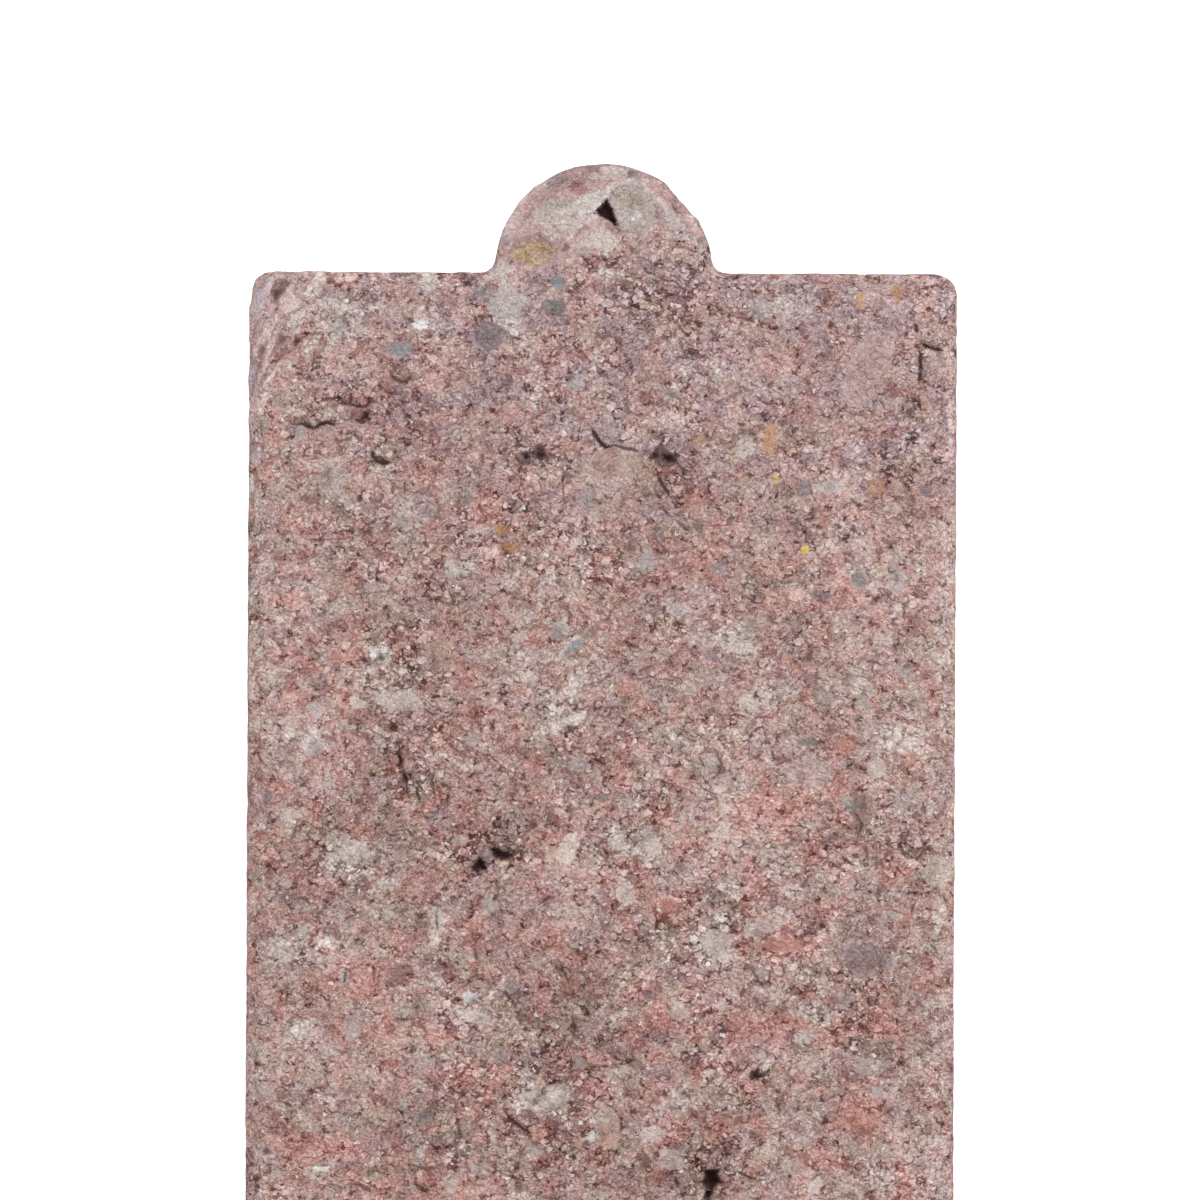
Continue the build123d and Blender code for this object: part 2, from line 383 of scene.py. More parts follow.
# Small gaps between crumbs, all of one width
gap_width = 3.2
gap_depth = 0.5
small_gaps = [
    [(384, 394), (388, 393)], [(404, 415), (409, 419)], [(333, 438), (335, 442), (338, 446)],
    [(342, 442), (350, 441)], [(351, 433), (356, 434)], [(438, 438), (436, 447)], [(391, 485), (391, 495)],
    [(403, 485), (404, 496)], [(805, 529), (806, 536)], [(903, 479), (906, 485)], [(905, 520), (907, 527)],
    [(888, 540), (892, 542)], [(902, 557), (906, 560)], [(866, 444), (870, 450)], [(893, 462), (894, 470)],
    [(915, 514), (921, 516)], [(898, 512), (903, 514)], [(888, 565), (890, 570), (895, 569)],
    [(850, 497), (857, 503), (863, 503)], [(606, 383), (611, 385)], [(596, 370), (599, 376)],
    [(615, 344), (622, 345)], [(562, 452), (567, 462)], [(674, 500), (682, 505)],
    [(676, 520), (684, 528), (690, 529)], [(640, 545), (641, 553)], [(652, 528), (658, 529)],
    [(376, 463), (380, 466)], [(343, 532), (352, 536)], [(669, 657), (674, 667)], [(867, 659), (878, 660)],
    [(734, 905), (738, 912)], [(755, 968), (762, 980), (769, 988)], [(773, 970), (773, 985)],
    [(670, 1004), (675, 1013)], [(377, 970), (377, 985)], [(349, 974), (347, 986)],
    [(428, 903), (437, 907), (447, 908)], [(567, 972), (573, 984)], [(398, 1021), (411, 1022)],
    [(503, 1000), (508, 993), (516, 1002), (519, 1011)], [(478, 952), (480, 961)],
    [(575, 1016), (578, 1026)], [(934, 942), (941, 949)], [(916, 902), (914, 912)],
    [(880, 886), (883, 894)], [(792, 1034), (800, 1031)],
    [(903, 833), (903, 846), (909, 854), (921, 857), (927, 846), (922, 831)], [(868, 843), (870, 857)],
    [(925, 799), (927, 812)], [(718, 752), (723, 762), (721, 772), (714, 778)], [(700, 756), (706, 766)],
    [(671, 804), (672, 811)], [(632, 864), (640, 866)], [(433, 781), (436, 797)], [(450, 793), (449, 808)],
    [(386, 833), (394, 838), (402, 836)], [(410, 832), (415, 838)], [(545, 823), (549, 828)],
    [(545, 862), (546, 867)], [(434, 846), (440, 844)], [(478, 846), (483, 842)], [(283, 860), (286, 866)],
    [(360, 804), (363, 807)], [(368, 709), (372, 716)], [(425, 710), (432, 716), (440, 715)],
    [(455, 705), (461, 703)], [(462, 1126), (466, 1138), (460, 1149)],
    [(412, 1166), (424, 1169), (435, 1173)], [(563, 1042), (568, 1048)], [(497, 1090), (500, 1097)],
    [(547, 1078), (552, 1085)], [(680, 1177), (684, 1187)], [(673, 1186), (680, 1188)],
    [(736, 1177), (739, 1179)], [(781, 1100), (785, 1112)], [(790, 1152), (796, 1155)],
    [(318, 1103), (317, 1109)], [(276, 1072), (279, 1075)], [(345, 700), (352, 697)],
    [(271, 688), (272, 693)], [(430, 580), (434, 574)], [(508, 620), (508, 626)], [(569, 620), (569, 626)],
    [(578, 574), (583, 578)], [(656, 580), (657, 587)], [(565, 608), (572, 616)],
    [(597, 1046), (603, 1050)], [(601, 852), (606, 857)], [(735, 1190), (742, 1189)],
    [(305, 765), (306, 771)], [(277, 785), (281, 786)], [(318, 610), (324, 613)], [(412, 760), (417, 762)],
    [(480, 728), (484, 733)], [(378, 725), (383, 729)], [(427, 742), (431, 737)], [(436, 728), (441, 731)],
    [(445, 742), (450, 740)], [(395, 745), (398, 750)],
]
cracks = [Crack(*row) for row in crack_rows]
cracks += [Crack(gap_width, gap_depth, points) for points in small_gaps]

# Patches: column, row, half width, half height, strength, degrees turned
pale_patches = [
    (355, 860, 38, 22, 0.8, 15), (392, 882, 24, 10, 0.6, -30), (563, 720, 28, 18, 0.9, -20),
    (400, 700, 26, 12, 0.9, 10), (718, 945, 24, 30, 0.8), (735, 640, 28, 15, 0.9), (690, 1102, 32, 13, 0.6),
    (905, 735, 26, 22, 0.5), (330, 1110, 20, 15, 0.6), (530, 655, 18, 9, 0.7), (440, 920, 9, 20, 0.8, 15),
    (542, 1100, 28, 18, 0.9), (310, 740, 20, 14, 0.8), (335, 318, 40, 34, 0.6), (300, 290, 36, 16, 0.5),
    (400, 520, 36, 22, 0.5, 10), (580, 680, 14, 36, 0.6, 10), (630, 840, 34, 22, 0.7),
    (290, 950, 24, 20, 0.7), (480, 1010, 26, 16, 0.6, 10), (785, 305, 26, 18, 0.6), (905, 740, 30, 22, 0.7),
    (945, 640, 10, 120, 0.5), (945, 1080, 12, 130, 0.4), (256, 600, 8, 180, 0.4), (300, 1035, 20, 16, 0.7),
    (495, 270, 14, 9, 0.9), (385, 745, 14, 20, 0.5), (770, 700, 30, 14, 0.5, -20), (335, 610, 12, 10, 0.6),
    (560, 1000, 22, 12, 0.4), (870, 1170, 26, 12, 0.4),
]
red_patches = [
    (868, 1112, 36, 22, 1.0), (790, 812, 60, 34, 0.8), (870, 1026, 52, 8, 0.8), (785, 945, 42, 15, 1.0),
    (320, 1147, 30, 12, 0.9), (345, 658, 24, 14, 0.8), (395, 1035, 56, 18, 0.9), (360, 985, 50, 22, 0.8),
    (765, 1030, 80, 18, 0.9), (660, 1020, 26, 14, 0.8), (690, 560, 50, 26, 0.6, 20),
    (672, 912, 28, 18, 0.7), (760, 945, 36, 18, 0.7), (330, 1150, 50, 16, 0.7), (430, 1190, 60, 14, 0.9),
    (790, 355, 34, 14, 0.8), (800, 390, 30, 14, 0.6), (350, 640, 40, 18, 0.6), (485, 505, 22, 16, 0.7),
    (845, 745, 12, 14, 0.8), (800, 560, 30, 16, 0.5), (700, 1100, 40, 14, 0.4), (570, 960, 40, 20, 0.4),
]
dark_patches = [
    (440, 770, 70, 50, 0.5, 30), (480, 840, 50, 22, 0.8), (570, 1035, 40, 70, 0.7), (665, 460, 30, 24, 0.9),
    (530, 458, 30, 18, 0.9), (340, 405, 44, 22, 0.6), (410, 640, 50, 40, 0.5), (862, 806, 24, 34, 0.7),
    (880, 1000, 40, 50, 0.4), (700, 1170, 50, 40, 0.6), (400, 1130, 90, 30, 0.3), (757, 1078, 14, 14, 0.8),
    (690, 720, 60, 40, 0.3), (705, 768, 26, 20, 0.8), (650, 290, 110, 40, 0.35), (262, 900, 12, 60, 0.5),
    (520, 925, 40, 30, 0.4), (500, 1110, 16, 30, 0.6), (925, 470, 20, 60, 0.5),
]
loose_patches = [  # where the mortar is loose, in crumbs with gaps between them
    (690, 268, 32, 26, 1.0, 20), (650, 300, 60, 30, 0.8), (740, 305, 36, 24, 0.7), (600, 262, 26, 14, 0.6),
    (350, 400, 56, 24, 0.6), (930, 350, 22, 30, 0.8), (378, 455, 26, 20, 0.8), (530, 460, 34, 22, 0.9),
    (660, 470, 36, 34, 0.9), (610, 435, 46, 16, 0.8), (400, 665, 46, 44, 0.8), (410, 770, 34, 44, 0.8),
    (490, 850, 56, 30, 0.9), (630, 845, 46, 30, 0.7), (310, 960, 36, 30, 0.7), (560, 1080, 60, 50, 0.7),
    (715, 1160, 50, 40, 0.8), (868, 810, 26, 34, 0.8), (940, 880, 20, 40, 0.8), (770, 405, 34, 14, 0.7),
    (884, 466, 36, 28, 0.9), (912, 845, 26, 30, 0.9), (570, 1150, 60, 36, 0.7), (425, 735, 50, 26, 0.8),
]
pressed_patches = [(765, 815, 75, 65, 1.0)]  # where it is pressed smooth
tones = [  # broad areas that are lighter, or darker where the strength is below 0
    (240, 900, 190, 520, 0.12), (970, 640, 190, 520, 0.22), (540, 1000, 260, 330, -0.16),
    (430, 800, 160, 140, -0.18), (600, 300, 420, 160, 0.08), (600, 210, 150, 90, 0.24),
    (285, 310, 130, 130, 0.2), (730, 800, 110, 90, 0.28), (570, 880, 150, 70, 0.16),
    (905, 880, 70, 60, -0.24), (300, 890, 100, 60, -0.2), (700, 1040, 300, 90, -0.14),
    (915, 1165, 70, 60, 0.3), (700, 1170, 70, 60, -0.2), (290, 985, 90, 80, -0.18),
    (520, 1170, 330, 90, -0.13), (740, 690, 80, 70, -0.13), (870, 400, 120, 110, 0.11),
    (290, 420, 90, 90, 0.1), (385, 585, 90, 80, 0.14), (880, 585, 120, 70, 0.11), (620, 320, 90, 60, -0.1),
    (738, 300, 50, 40, 0.24), (615, 502, 48, 28, -0.26), (400, 1037, 56, 24, 0.22),
    (357, 853, 26, 20, 0.25), (435, 445, 70, 60, -0.15), (430, 940, 60, 50, -0.16),
    (320, 840, 50, 50, -0.12), (530, 825, 50, 50, -0.14), (880, 840, 50, 50, -0.13),
    (710, 1125, 60, 50, -0.13), (340, 300, 50, 40, 0.14), (262, 445, 40, 60, 0.12),
    (790, 740, 50, 40, 0.12), (335, 1045, 40, 40, 0.1),
]

# Rows and columns between which something fades: where there is none of it, and where it is full
pressed_rim_rows = (640, 700)
pressed_rim_columns = (930, 945)
cool_rows = (640, 330)
cool_columns = (270, 480)
flake_rows = (255, 200)

# Areas with straight sides, on the tongue's broken top, on the chipped corner and round the deepest pits.
# Those coloured shade and red_shade are painted shade; others are noted one by one.
facets = {
    "upper_left": Facet("pale_pink", 0.6, [(503, 232), (508, 212), (524, 192), (546, 176), (572, 167),
        (588, 176), (562, 181), (540, 192), (524, 208), (514, 232)]),
    "top_strip": Facet("pale_rose", 0.9, [(583, 169), (600, 163), (622, 163), (633, 170), (628, 177),
        (612, 176), (598, 179), (586, 176)]),
    "red_spot": Facet("dull_red", 1.0, [(562, 185), (570, 177), (577, 180), (583, 189), (580, 195),
        (573, 197), (566, 193)]),
    "pebble": Facet("grey_beige", 0.95, [(531, 222), (534, 211), (540, 202), (548, 197), (560, 199),
        (567, 204), (569, 214), (565, 222), (555, 224), (545, 222), (537, 225)]),
    "pebble_low": Facet("beige", 0.75, [(540, 222), (550, 214), (562, 210), (570, 211), (571, 216),
        (566, 222), (556, 225), (546, 223)]),
    "pebble_side": Facet("beige", 0.95, [(568, 206), (576, 200), (588, 195), (600, 190), (603, 196),
        (597, 207), (590, 214), (576, 217), (570, 213)]),
    "mauve_band": Facet("lime", 0.7, [(540, 228), (553, 226), (568, 222), (578, 216), (592, 216),
        (598, 222), (590, 226), (578, 231), (567, 239), (553, 240), (542, 236)]),
    "flake": Facet("flake_grey", 0.9, [(604, 203), (607, 194), (612, 187), (622, 181), (631, 177),
        (638, 183), (646, 190), (650, 200), (654, 212), (652, 222), (642, 229), (630, 232), (618, 232),
        (613, 222), (608, 210)]),
    "flake_side": Facet("mauve", 0.8, [(646, 189), (662, 206), (676, 221), (671, 229), (656, 219),
        (651, 202)]),
    # painted light: the facet that faces the lamp is painted paler
    "right_facet": Facet("rose", 0.9, [(636, 171), (652, 177), (672, 190), (692, 212), (704, 234),
        (690, 230), (676, 212), (660, 196), (646, 183)]),
    # painted shade under the tongue's hollow
    "under_hollow": Facet("brown", 0.6, [(602, 222), (611, 226), (616, 234), (609, 237), (601, 231)]),
    "cream_pebble": Facet("cream", 0.95, [(573, 249), (577, 242), (585, 236), (594, 232), (604, 232),
        (612, 237), (614, 245), (608, 250), (596, 248), (586, 250), (580, 254)]),
    # painted shade on the cream pebble's lower side
    "cream_pebble_low": Facet("olive", 0.7, [(574, 250), (582, 246), (588, 250), (582, 258), (576, 256)]),
    "ochre_shade": Facet("brown", 0.55, [(508, 250), (512, 240), (526, 236), (542, 239), (555, 246),
        (540, 245), (522, 245), (513, 250)]),
    "ochre_pebble": Facet("golden", 0.95, [(510, 259), (512, 250), (520, 243), (530, 241), (540, 243),
        (552, 247), (555, 251), (548, 257), (545, 263), (534, 267), (520, 264)]),
    # painted light on the lit side of the ochre pebble
    "ochre_light": Facet("pale_golden", 0.7, [(528, 258), (534, 252), (545, 250), (546, 258), (538, 265),
        (530, 264)]),
    "blue_grain": Facet("blue_grey", 0.9, [(547, 279), (555, 275), (563, 280), (561, 288), (554, 290),
        (548, 287)]),
    "root_patch": Facet("cream", 0.9, [(489, 272), (494, 263), (503, 260), (506, 266), (503, 274),
        (496, 280), (490, 278)]),
    # painted shade round the pits beside the largest stone
    "by_largest": Facet("shade", 0.75, [(645, 449), (650, 454), (655, 446), (659, 442), (664, 448),
        (670, 452), (676, 456), (678, 464), (672, 466), (664, 468), (658, 466), (652, 459), (646, 456)]),
    # pair_left and pair_right: painted shade round the pair of pits
    "pair_left": Facet("red_shade", 0.7, [(514, 455), (520, 452), (527, 451), (531, 458), (530, 466),
        (519, 467), (514, 462)]),
    "pair_right": Facet("red_shade", 0.8, [(531, 452), (535, 445), (541, 446), (545, 452), (550, 460),
        (541, 461), (534, 458)]),
    "slab_shade": Facet("red_shade", 0.5, [(342, 412), (352, 410), (362, 410), (367, 416), (364, 425),
        (354, 424), (344, 420)]),
    "corner_side": Facet("mauve", 0.35, [(250, 300), (257, 296), (261, 330), (259, 370), (251, 412),
        (246, 412), (247, 340)]),
    "corner_face": Facet("pale_pink", 0.4, [(292, 280), (308, 282), (292, 316), (276, 350), (264, 380),
        (266, 340), (278, 310)]),
    # painted shade in the chipped corner's hollow
    "corner_hollow": Facet("red_shade", 0.9, [(266, 294), (272, 280), (283, 279), (289, 284), (284, 293),
        (279, 300), (276, 309), (271, 301)]),
    # corner_rim and corner_rim_low: painted shade on the rounded left rim
    "corner_rim": Facet("rim_blue", 0.7, [(246, 318), (250, 298), (258, 282), (266, 276), (268, 280),
        (261, 290), (258, 302), (255, 312)]),
    "corner_rim_low": Facet("rim_blue", 0.5, [(245, 372), (249, 356), (254, 362), (252, 384), (248, 396)]),
    "corner_green": Facet("pale_beige", 0.9, [(286, 325), (292, 317), (304, 314), (300, 321), (292, 327)]),
    "corner_shadow": Facet("brown", 0.7, [(254, 350), (260, 345), (264, 350), (259, 360), (254, 362)]),
    "corner_red": Facet("dull_red", 0.4, [(276, 338), (286, 336), (300, 338), (298, 350), (290, 356),
        (276, 352)]),
}

# Pale ridges and streaks, each with its width in pixels. Their paleness is lime colour, and on the ridges of
# the tongue's break and the chipped corner it is also painted highlight.
pale_streaks = {
    "tongue_ridge": Streak(4, 0.9, [(632, 176), (622, 180), (612, 185), (605, 191), (602, 199)]),
    "tongue_flake_side": Streak(2.2, 1.0, [(636, 176), (646, 188), (655, 199), (662, 207)]),
    "tongue_flake_low": Streak(2.0, 0.5, [(662, 207), (674, 219), (684, 228)]),
    "tongue_under_pebble": Streak(2.2, 0.8, [(537, 226), (556, 225), (567, 222), (576, 215), (590, 213),
        (596, 206)]),
    "tongue_left_rim": Streak(2.5, 0.5, [(497, 240), (507, 213), (524, 191), (550, 173)]),
    "chip_one": Streak(3, 0.6, [(312, 283), (301, 300), (292, 312), (283, 326)]),
    "chip_two": Streak(2.5, 0.4, [(322, 281), (306, 310), (298, 330)]),
    "chip_three": Streak(2.2, 0.8, [(276, 322), (270, 332), (265, 345), (270, 356)]),
    "chip_four": Streak(2.2, 0.7, [(271, 352), (266, 362), (263, 375)]),
    "chip_five": Streak(2.0, 0.7, [(272, 362), (274, 372), (268, 382), (262, 389)]),
    "chip_six": Streak(2.6, 1.0, [(263, 399), (261, 406), (258, 414), (256, 421)]),
    "chip_seven": Streak(2.2, 0.5, [(262, 288), (268, 279), (274, 275)]),
    "chip_eight": Streak(2.0, 0.5, [(278, 300), (270, 318), (264, 336), (258, 352)]),
    "end_left": Streak(3, 0.6, [(380, 273), (400, 277), (430, 273)]),
    "under_fork": Streak(3, 0.6, [(366, 468), (378, 472), (390, 470)]),
    "left_edge_low": Streak(3, 0.9, [(247, 478), (247, 500)]),
    "right_rim_high": Streak(3, 0.8, [(950, 400), (951, 440)]),
    "comma": Streak(3, 0.8, [(267, 642), (274, 648), (280, 655)]),
    "ring": Streak(3, 0.9, [(372, 655), (375, 648), (382, 647), (389, 652), (390, 662), (384, 669)]),
    "bloom_side": Streak(3, 0.7, [(378, 880), (392, 886), (398, 876), (396, 862)]),
    "low_white": Streak(4, 0.9, [(528, 1104), (540, 1110), (554, 1104), (562, 1092)]),
    "left_low_white": Streak(4, 0.8, [(436, 910), (433, 930), (440, 942)]),
    "middle_white": Streak(5, 0.9, [(546, 722), (560, 728), (578, 716)]),
    "slab_white": Streak(3, 0.6, [(572, 668), (574, 690), (570, 706)]),
    "slab_halo": Streak(4, 0.8, [(560, 656), (566, 647), (576, 636)]),
    "middle_slant": Streak(4, 0.8, [(440, 756), (455, 762), (467, 770), (480, 768)]),
    "by_largest_slant": Streak(4, 0.5, [(706, 452), (715, 440), (722, 428), (728, 412)]),
    "ring_right": Streak(3, 0.7, [(893, 950), (898, 960), (894, 972)]),
    "pebble_ring": Streak(3, 0.7, [(506, 994), (504, 984), (508, 976), (517, 974)]),
    "left_bead": Streak(4, 0.8, [(300, 735), (305, 742), (308, 752)]),
    "edge_right_low": Streak(3, 0.5, [(868, 776), (876, 782), (886, 780)]),
}

# The tongue's broken top and the chipped corner are smooth, and paler than the open-grained face
tongue_break = [
    (488, 270), (494, 240), (505, 210), (535, 178), (590, 158), (640, 165), (690, 196), (712, 246),
    (698, 236), (680, 226), (662, 224), (650, 236), (618, 238), (600, 252), (570, 256), (548, 268),
    (515, 272),
]
tongue_flake = [
    (605, 204), (612, 190), (628, 175), (642, 181), (654, 193), (668, 210), (690, 236), (680, 262),
    (640, 262), (622, 240), (616, 226), (610, 214),
]
chip_ridge = [(316, 270), (303, 300), (285, 335), (268, 370), (256, 400), (250, 424)]
chip_area = [*chip_ridge, (225, 420), (225, 250), (302, 250)]
rill_length = 42
rill_width = 6


def arc(centre, radius, start, end):
    """Points on an arc between two angles, and the directions from its centre to them."""
    count = max(3, math.ceil(radius * abs(end - start) / path_step))
    angles = np.linspace(start, end, count)
    ways = np.stack([np.cos(angles), np.sin(angles)], 1)
    return np.array(centre) + radius * ways, ways


def plan_outline():
    """The curb from above, anticlockwise along the side at -Y first: points, outward ways and bends."""
    root_y = math.sqrt((tongue_radius + tongue_root_radius) ** 2 - tongue_root_radius ** 2)
    mouth_y = math.sqrt((groove_radius + groove_mouth_radius) ** 2 - groove_mouth_radius ** 2)
    root_turn = math.atan2(root_y, -tongue_root_radius)
    mouth_turn = math.atan2(mouth_y, -groove_mouth_radius)
    tongue_turn = math.atan2(root_y, tongue_root_radius)
    groove_turn = math.atan2(mouth_y, groove_mouth_radius)
    quarter = math.pi / 2
    corner_x = end_x - corner_radius
    corner_y = side_y - corner_radius
    root_x = end_x + tongue_root_radius
    mouth_x = groove_mouth_radius - end_x
    convex, hollow = 1, -1
    arcs = [
        (convex, (corner_x, -corner_y), corner_radius, -quarter, 0),
        (hollow, (root_x, -root_y), tongue_root_radius, math.pi, root_turn),
        (convex, (end_x, 0), tongue_radius, -tongue_turn, tongue_turn),
        (hollow, (root_x, root_y), tongue_root_radius, -root_turn, -math.pi),
        (convex, (corner_x, corner_y), corner_radius, 0, quarter),
        (convex, (-corner_x, corner_y), corner_radius, quarter, math.pi),
        (convex, (mouth_x, mouth_y), groove_mouth_radius, math.pi, 2 * math.pi - mouth_turn),
        (hollow, (-end_x, 0), groove_radius, groove_turn, -groove_turn),
        (convex, (mouth_x, -mouth_y), groove_mouth_radius, mouth_turn, math.pi),
        (convex, (-corner_x, -corner_y), corner_radius, math.pi, 3 * quarter),
    ]
    points, ways, bends = [], [], []
    for outward, centre, radius, start, end in arcs:
        on_arc, from_centre = arc(centre, radius, start, end)
        points.append(on_arc)
        ways.append(outward * from_centre)
        bends += [radius] * len(on_arc)
    points = np.concatenate([[points[-1][-1]], *points])
    return points, np.concatenate([[ways[-1][-1]], *ways]), np.array(bends[-1:] + bends)


outline, outline_ways, outline_bends = plan_outline()
outline_run = np.concatenate([[0], np.cumsum(np.linalg.norm(np.diff(outline, axis=0), axis=1))])
around = outline_run[-1]
top_turn = top_edge_radius * math.pi / 2
bed_turn = bed_edge_radius * math.pi / 2
wall_drop = top_turn + (top_z - top_edge_radius - bed_edge_radius) + bed_turn


def along_outline(run):
    """The outline's point and outward direction at each distance along it."""
    point = np.stack([np.interp(run, outline_run, c) for c in outline.T], 1)
    way = np.stack([np.interp(run, outline_run, c) for c in outline_ways.T], 1)
    return point, way / np.linalg.norm(way, axis=1, keepdims=True)


def bend_spacing(run):
    """A spacing that follows the outline's bends closely enough, and grows away from them."""
    spacing = np.full(len(run), coarse_spacing)
    for radius in np.unique(outline_bends):
        bent = outline_run[outline_bends == radius]
        after = np.searchsorted(bent, run).clip(1, len(bent) - 1)
        away = np.minimum(np.abs(run - bent[after - 1]), np.abs(run - bent[after]))
        spacing = np.minimum(spacing, radius * bend_share + away * wall_growth)
    return spacing


def top_spacing(places):
    away = np.maximum(view_start - places[:, 0], 0)
    spacing = np.minimum(fine_spacing + away * top_growth, coarse_spacing)
    for middle, reach in close_ups:
        beyond = np.maximum(np.linalg.norm(places - middle, axis=1) - reach, 0)
        spacing = np.minimum(spacing, finest_spacing + beyond * close_up_growth)
    return spacing


def wall_spacing(places):
    """The mesh's spacing on the wall, where a place is a distance along the outline and one down."""
    back = np.maximum(view_start - along_outline(places[:, 0])[0][:, 0], 0) * top_growth
    down = np.maximum(places[:, 1] - top_turn, 0) * wall_growth
    return np.minimum(fine_spacing + np.hypot(back, down), bend_spacing(places[:, 0]))


def bed_spacing(places):
    return np.full(len(places), coarse_spacing)


def stops(spacing, start, end):
    """Distances between start and end whose steps follow the spacing there."""
    fine = np.linspace(start, end, math.ceil((end - start) / path_step))
    crossed = np.concatenate([[0], np.cumsum(np.diff(fine) / spacing(fine)[1:])])
    return np.interp(np.linspace(0, crossed[-1], max(2, round(crossed[-1]) + 1)), crossed, fine)


def pattern(corner, far_corner, spacing, finest):
    """Points in a box, in triangular patterns that are as dense at each place as its spacing."""
    kept = []
    level = 0
    while finest * level_ratio ** level <= coarse_spacing * level_ratio:
        step = finest * level_ratio ** level
        columns = np.arange(corner[0] + step / 2, far_corner[0], step)
        rows = np.arange(corner[1] + step / 2, far_corner[1], step * row_share)
        grid = np.stack(np.meshgrid(columns, rows), -1)
        grid[1::2, :, 0] += step / 2
        grid = grid.reshape(-1, 2)
        wanted = np.round(np.log(spacing(grid) / finest) / math.log(level_ratio))
        kept.append(grid[np.maximum(wanted, 0) == level])
        level += 1
    return np.concatenate(kept)


def inside_plan(places):
    """About how far inside the curb's outline each place lies."""
    x, y = places.T
    body = np.minimum(end_x - np.abs(x), side_y - np.abs(y))
    tongue = tongue_radius - np.hypot(x - end_x, y)
    groove = np.hypot(x + end_x, y) - groove_radius
    return np.minimum(np.maximum(body, tongue), groove)


def to_line(places, line):
    """Each place's distance to a line through points, and how far along the line it lies, from 0 to 1."""
    line = np.asarray(line, float)
    run = np.concatenate([[0], np.cumsum(np.linalg.norm(np.diff(line, axis=0), axis=1))])
    nearest = np.full(len(places), np.inf)
    share = np.zeros(len(places))
    for start, end, before in zip(line[:-1], line[1:], run[:-1]):
        way = end - start
        length = np.linalg.norm(way)
        part = np.clip((places - start) @ way / length ** 2, 0, 1)
        off = np.linalg.norm(places - start - part[:, None] * way, axis=1)
        closer = off < nearest
        nearest = np.where(closer, off, nearest)
        share = np.where(closer, (before + part * length) / run[-1], share)
    return nearest, share


def line_stops(line, step):
    """Points along a line through points, about a step apart."""
    line = np.asarray(line, float)
    run = np.concatenate([[0], np.cumsum(np.linalg.norm(np.diff(line, axis=0), axis=1))])
    at = np.linspace(0, run[-1], max(2, round(run[-1] / step) + 1))
    return np.stack([np.interp(at, run, c) for c in line.T], 1)


crack_step = 3.0  # pixels
relief_gap = 1.4  # pixels


def relief_points():
    """Pixels that the mesh has points at: along cracks, in pits and at their corners, and in stones."""
    found = [point for crack in cracks for point in line_stops(crack.points, crack_step)]
    for pit in pits.values():
        found += [np.mean(pit.corners, 0), *np.array(pit.corners, float)]
    found += [np.array([stone.column, stone.row], float) for stone in stones]
    kept = found[:1]
    for point in found[1:]:
        if np.linalg.norm(np.array(kept) - point, axis=1).min() > relief_gap:
            kept.append(point)
    return np.array(kept)


def keep_off(places, others, gap):
    """The places that lie a gap or more from all the others, looked up in cells as wide as the gap."""
    cells = {}
    for number, cell in enumerate(map(tuple, np.floor(others / gap).astype(int))):
        cells.setdefault(cell, []).append(number)
    near = np.zeros(len(places), bool)
    corner = others.min(0) - gap
    far = others.max(0) + gap
    candidates = np.nonzero(((places > corner) & (places < far)).all(1))[0]
    at = np.floor(places[candidates] / gap).astype(int)
    for number, (column, row) in zip(candidates, at):
        for step in product((-1, 0, 1), repeat=2):
            found = cells.get((column + step[0], row + step[1]))
            if found and (np.linalg.norm(others[found] - places[number], axis=1) < gap).any():
                near[number] = True
                break
    return places[~near]


merge_distance = 1e-7  # mm, between points that count as one


def inside_area(points, corners):
    """How far points lie inside an area with straight sides, or outside it if negative."""
    corners = np.asarray(corners, float)
    off = to_line(points, np.concatenate([corners, corners[:1]]))[0]
    inside = np.zeros(len(points), bool)
    for (x0, y0), (x1, y1) in zip(corners, np.roll(corners, -1, 0)):
        if y0 != y1:
            crosses = (y0 > points[:, 1]) != (y1 > points[:, 1])
            inside ^= crosses & (points[:, 0] < x0 + (points[:, 1] - y0) / (y1 - y0) * (x1 - x0))
    return np.where(inside, off, -off)


def triangles(points, rim=0):
    """Delaunay triangles of points, turned anticlockwise. A rim's points come first. It may have hollows."""
    rims = [list(range(rim))] if rim else []
    made = delaunay_2d_cdt([Vector(p / mm) for p in points], [], rims, 0, merge_distance, True)
    number = [found[0] for found in made[3]]
    found = np.array([[number[v] for v in face] for face in made[2]])
    if rim:
        bridges = (found < rim).all(1)
        middles = points[found[bridges]].mean(1)
        bridges[bridges] = inside_area(middles, points[:rim]) < 0
        found = found[~bridges]
    a, b, c = (points[found[:, i]] for i in range(3))
    turned = (b - a)[:, 0] * (c - a)[:, 1] - (b - a)[:, 1] * (c - a)[:, 0] < 0
    found[turned] = found[turned][:, ::-1]
    return found


def cap(rim_run, inset, spacing, finest, extra):
    """A flat end of the mesh, in plan: its points with those of the rim first, and its triangles."""
    on_outline, ways = along_outline(rim_run)
    rim = on_outline - ways * inset
    inner = pattern((-end_x, -side_y), (high.x, side_y), spacing, finest)
    inner = inner[inside_plan(inner) > inset + spacing(inner) * clear_share]
    if len(extra):
        extra = extra[inside_plan(extra) > inset + fine_spacing / 2]
        inner = keep_off(inner, extra, fine_spacing * kept_off_share)
        inner = np.concatenate([extra, inner])
    points = np.concatenate([rim, inner])
    return points, triangles(points, len(rim))


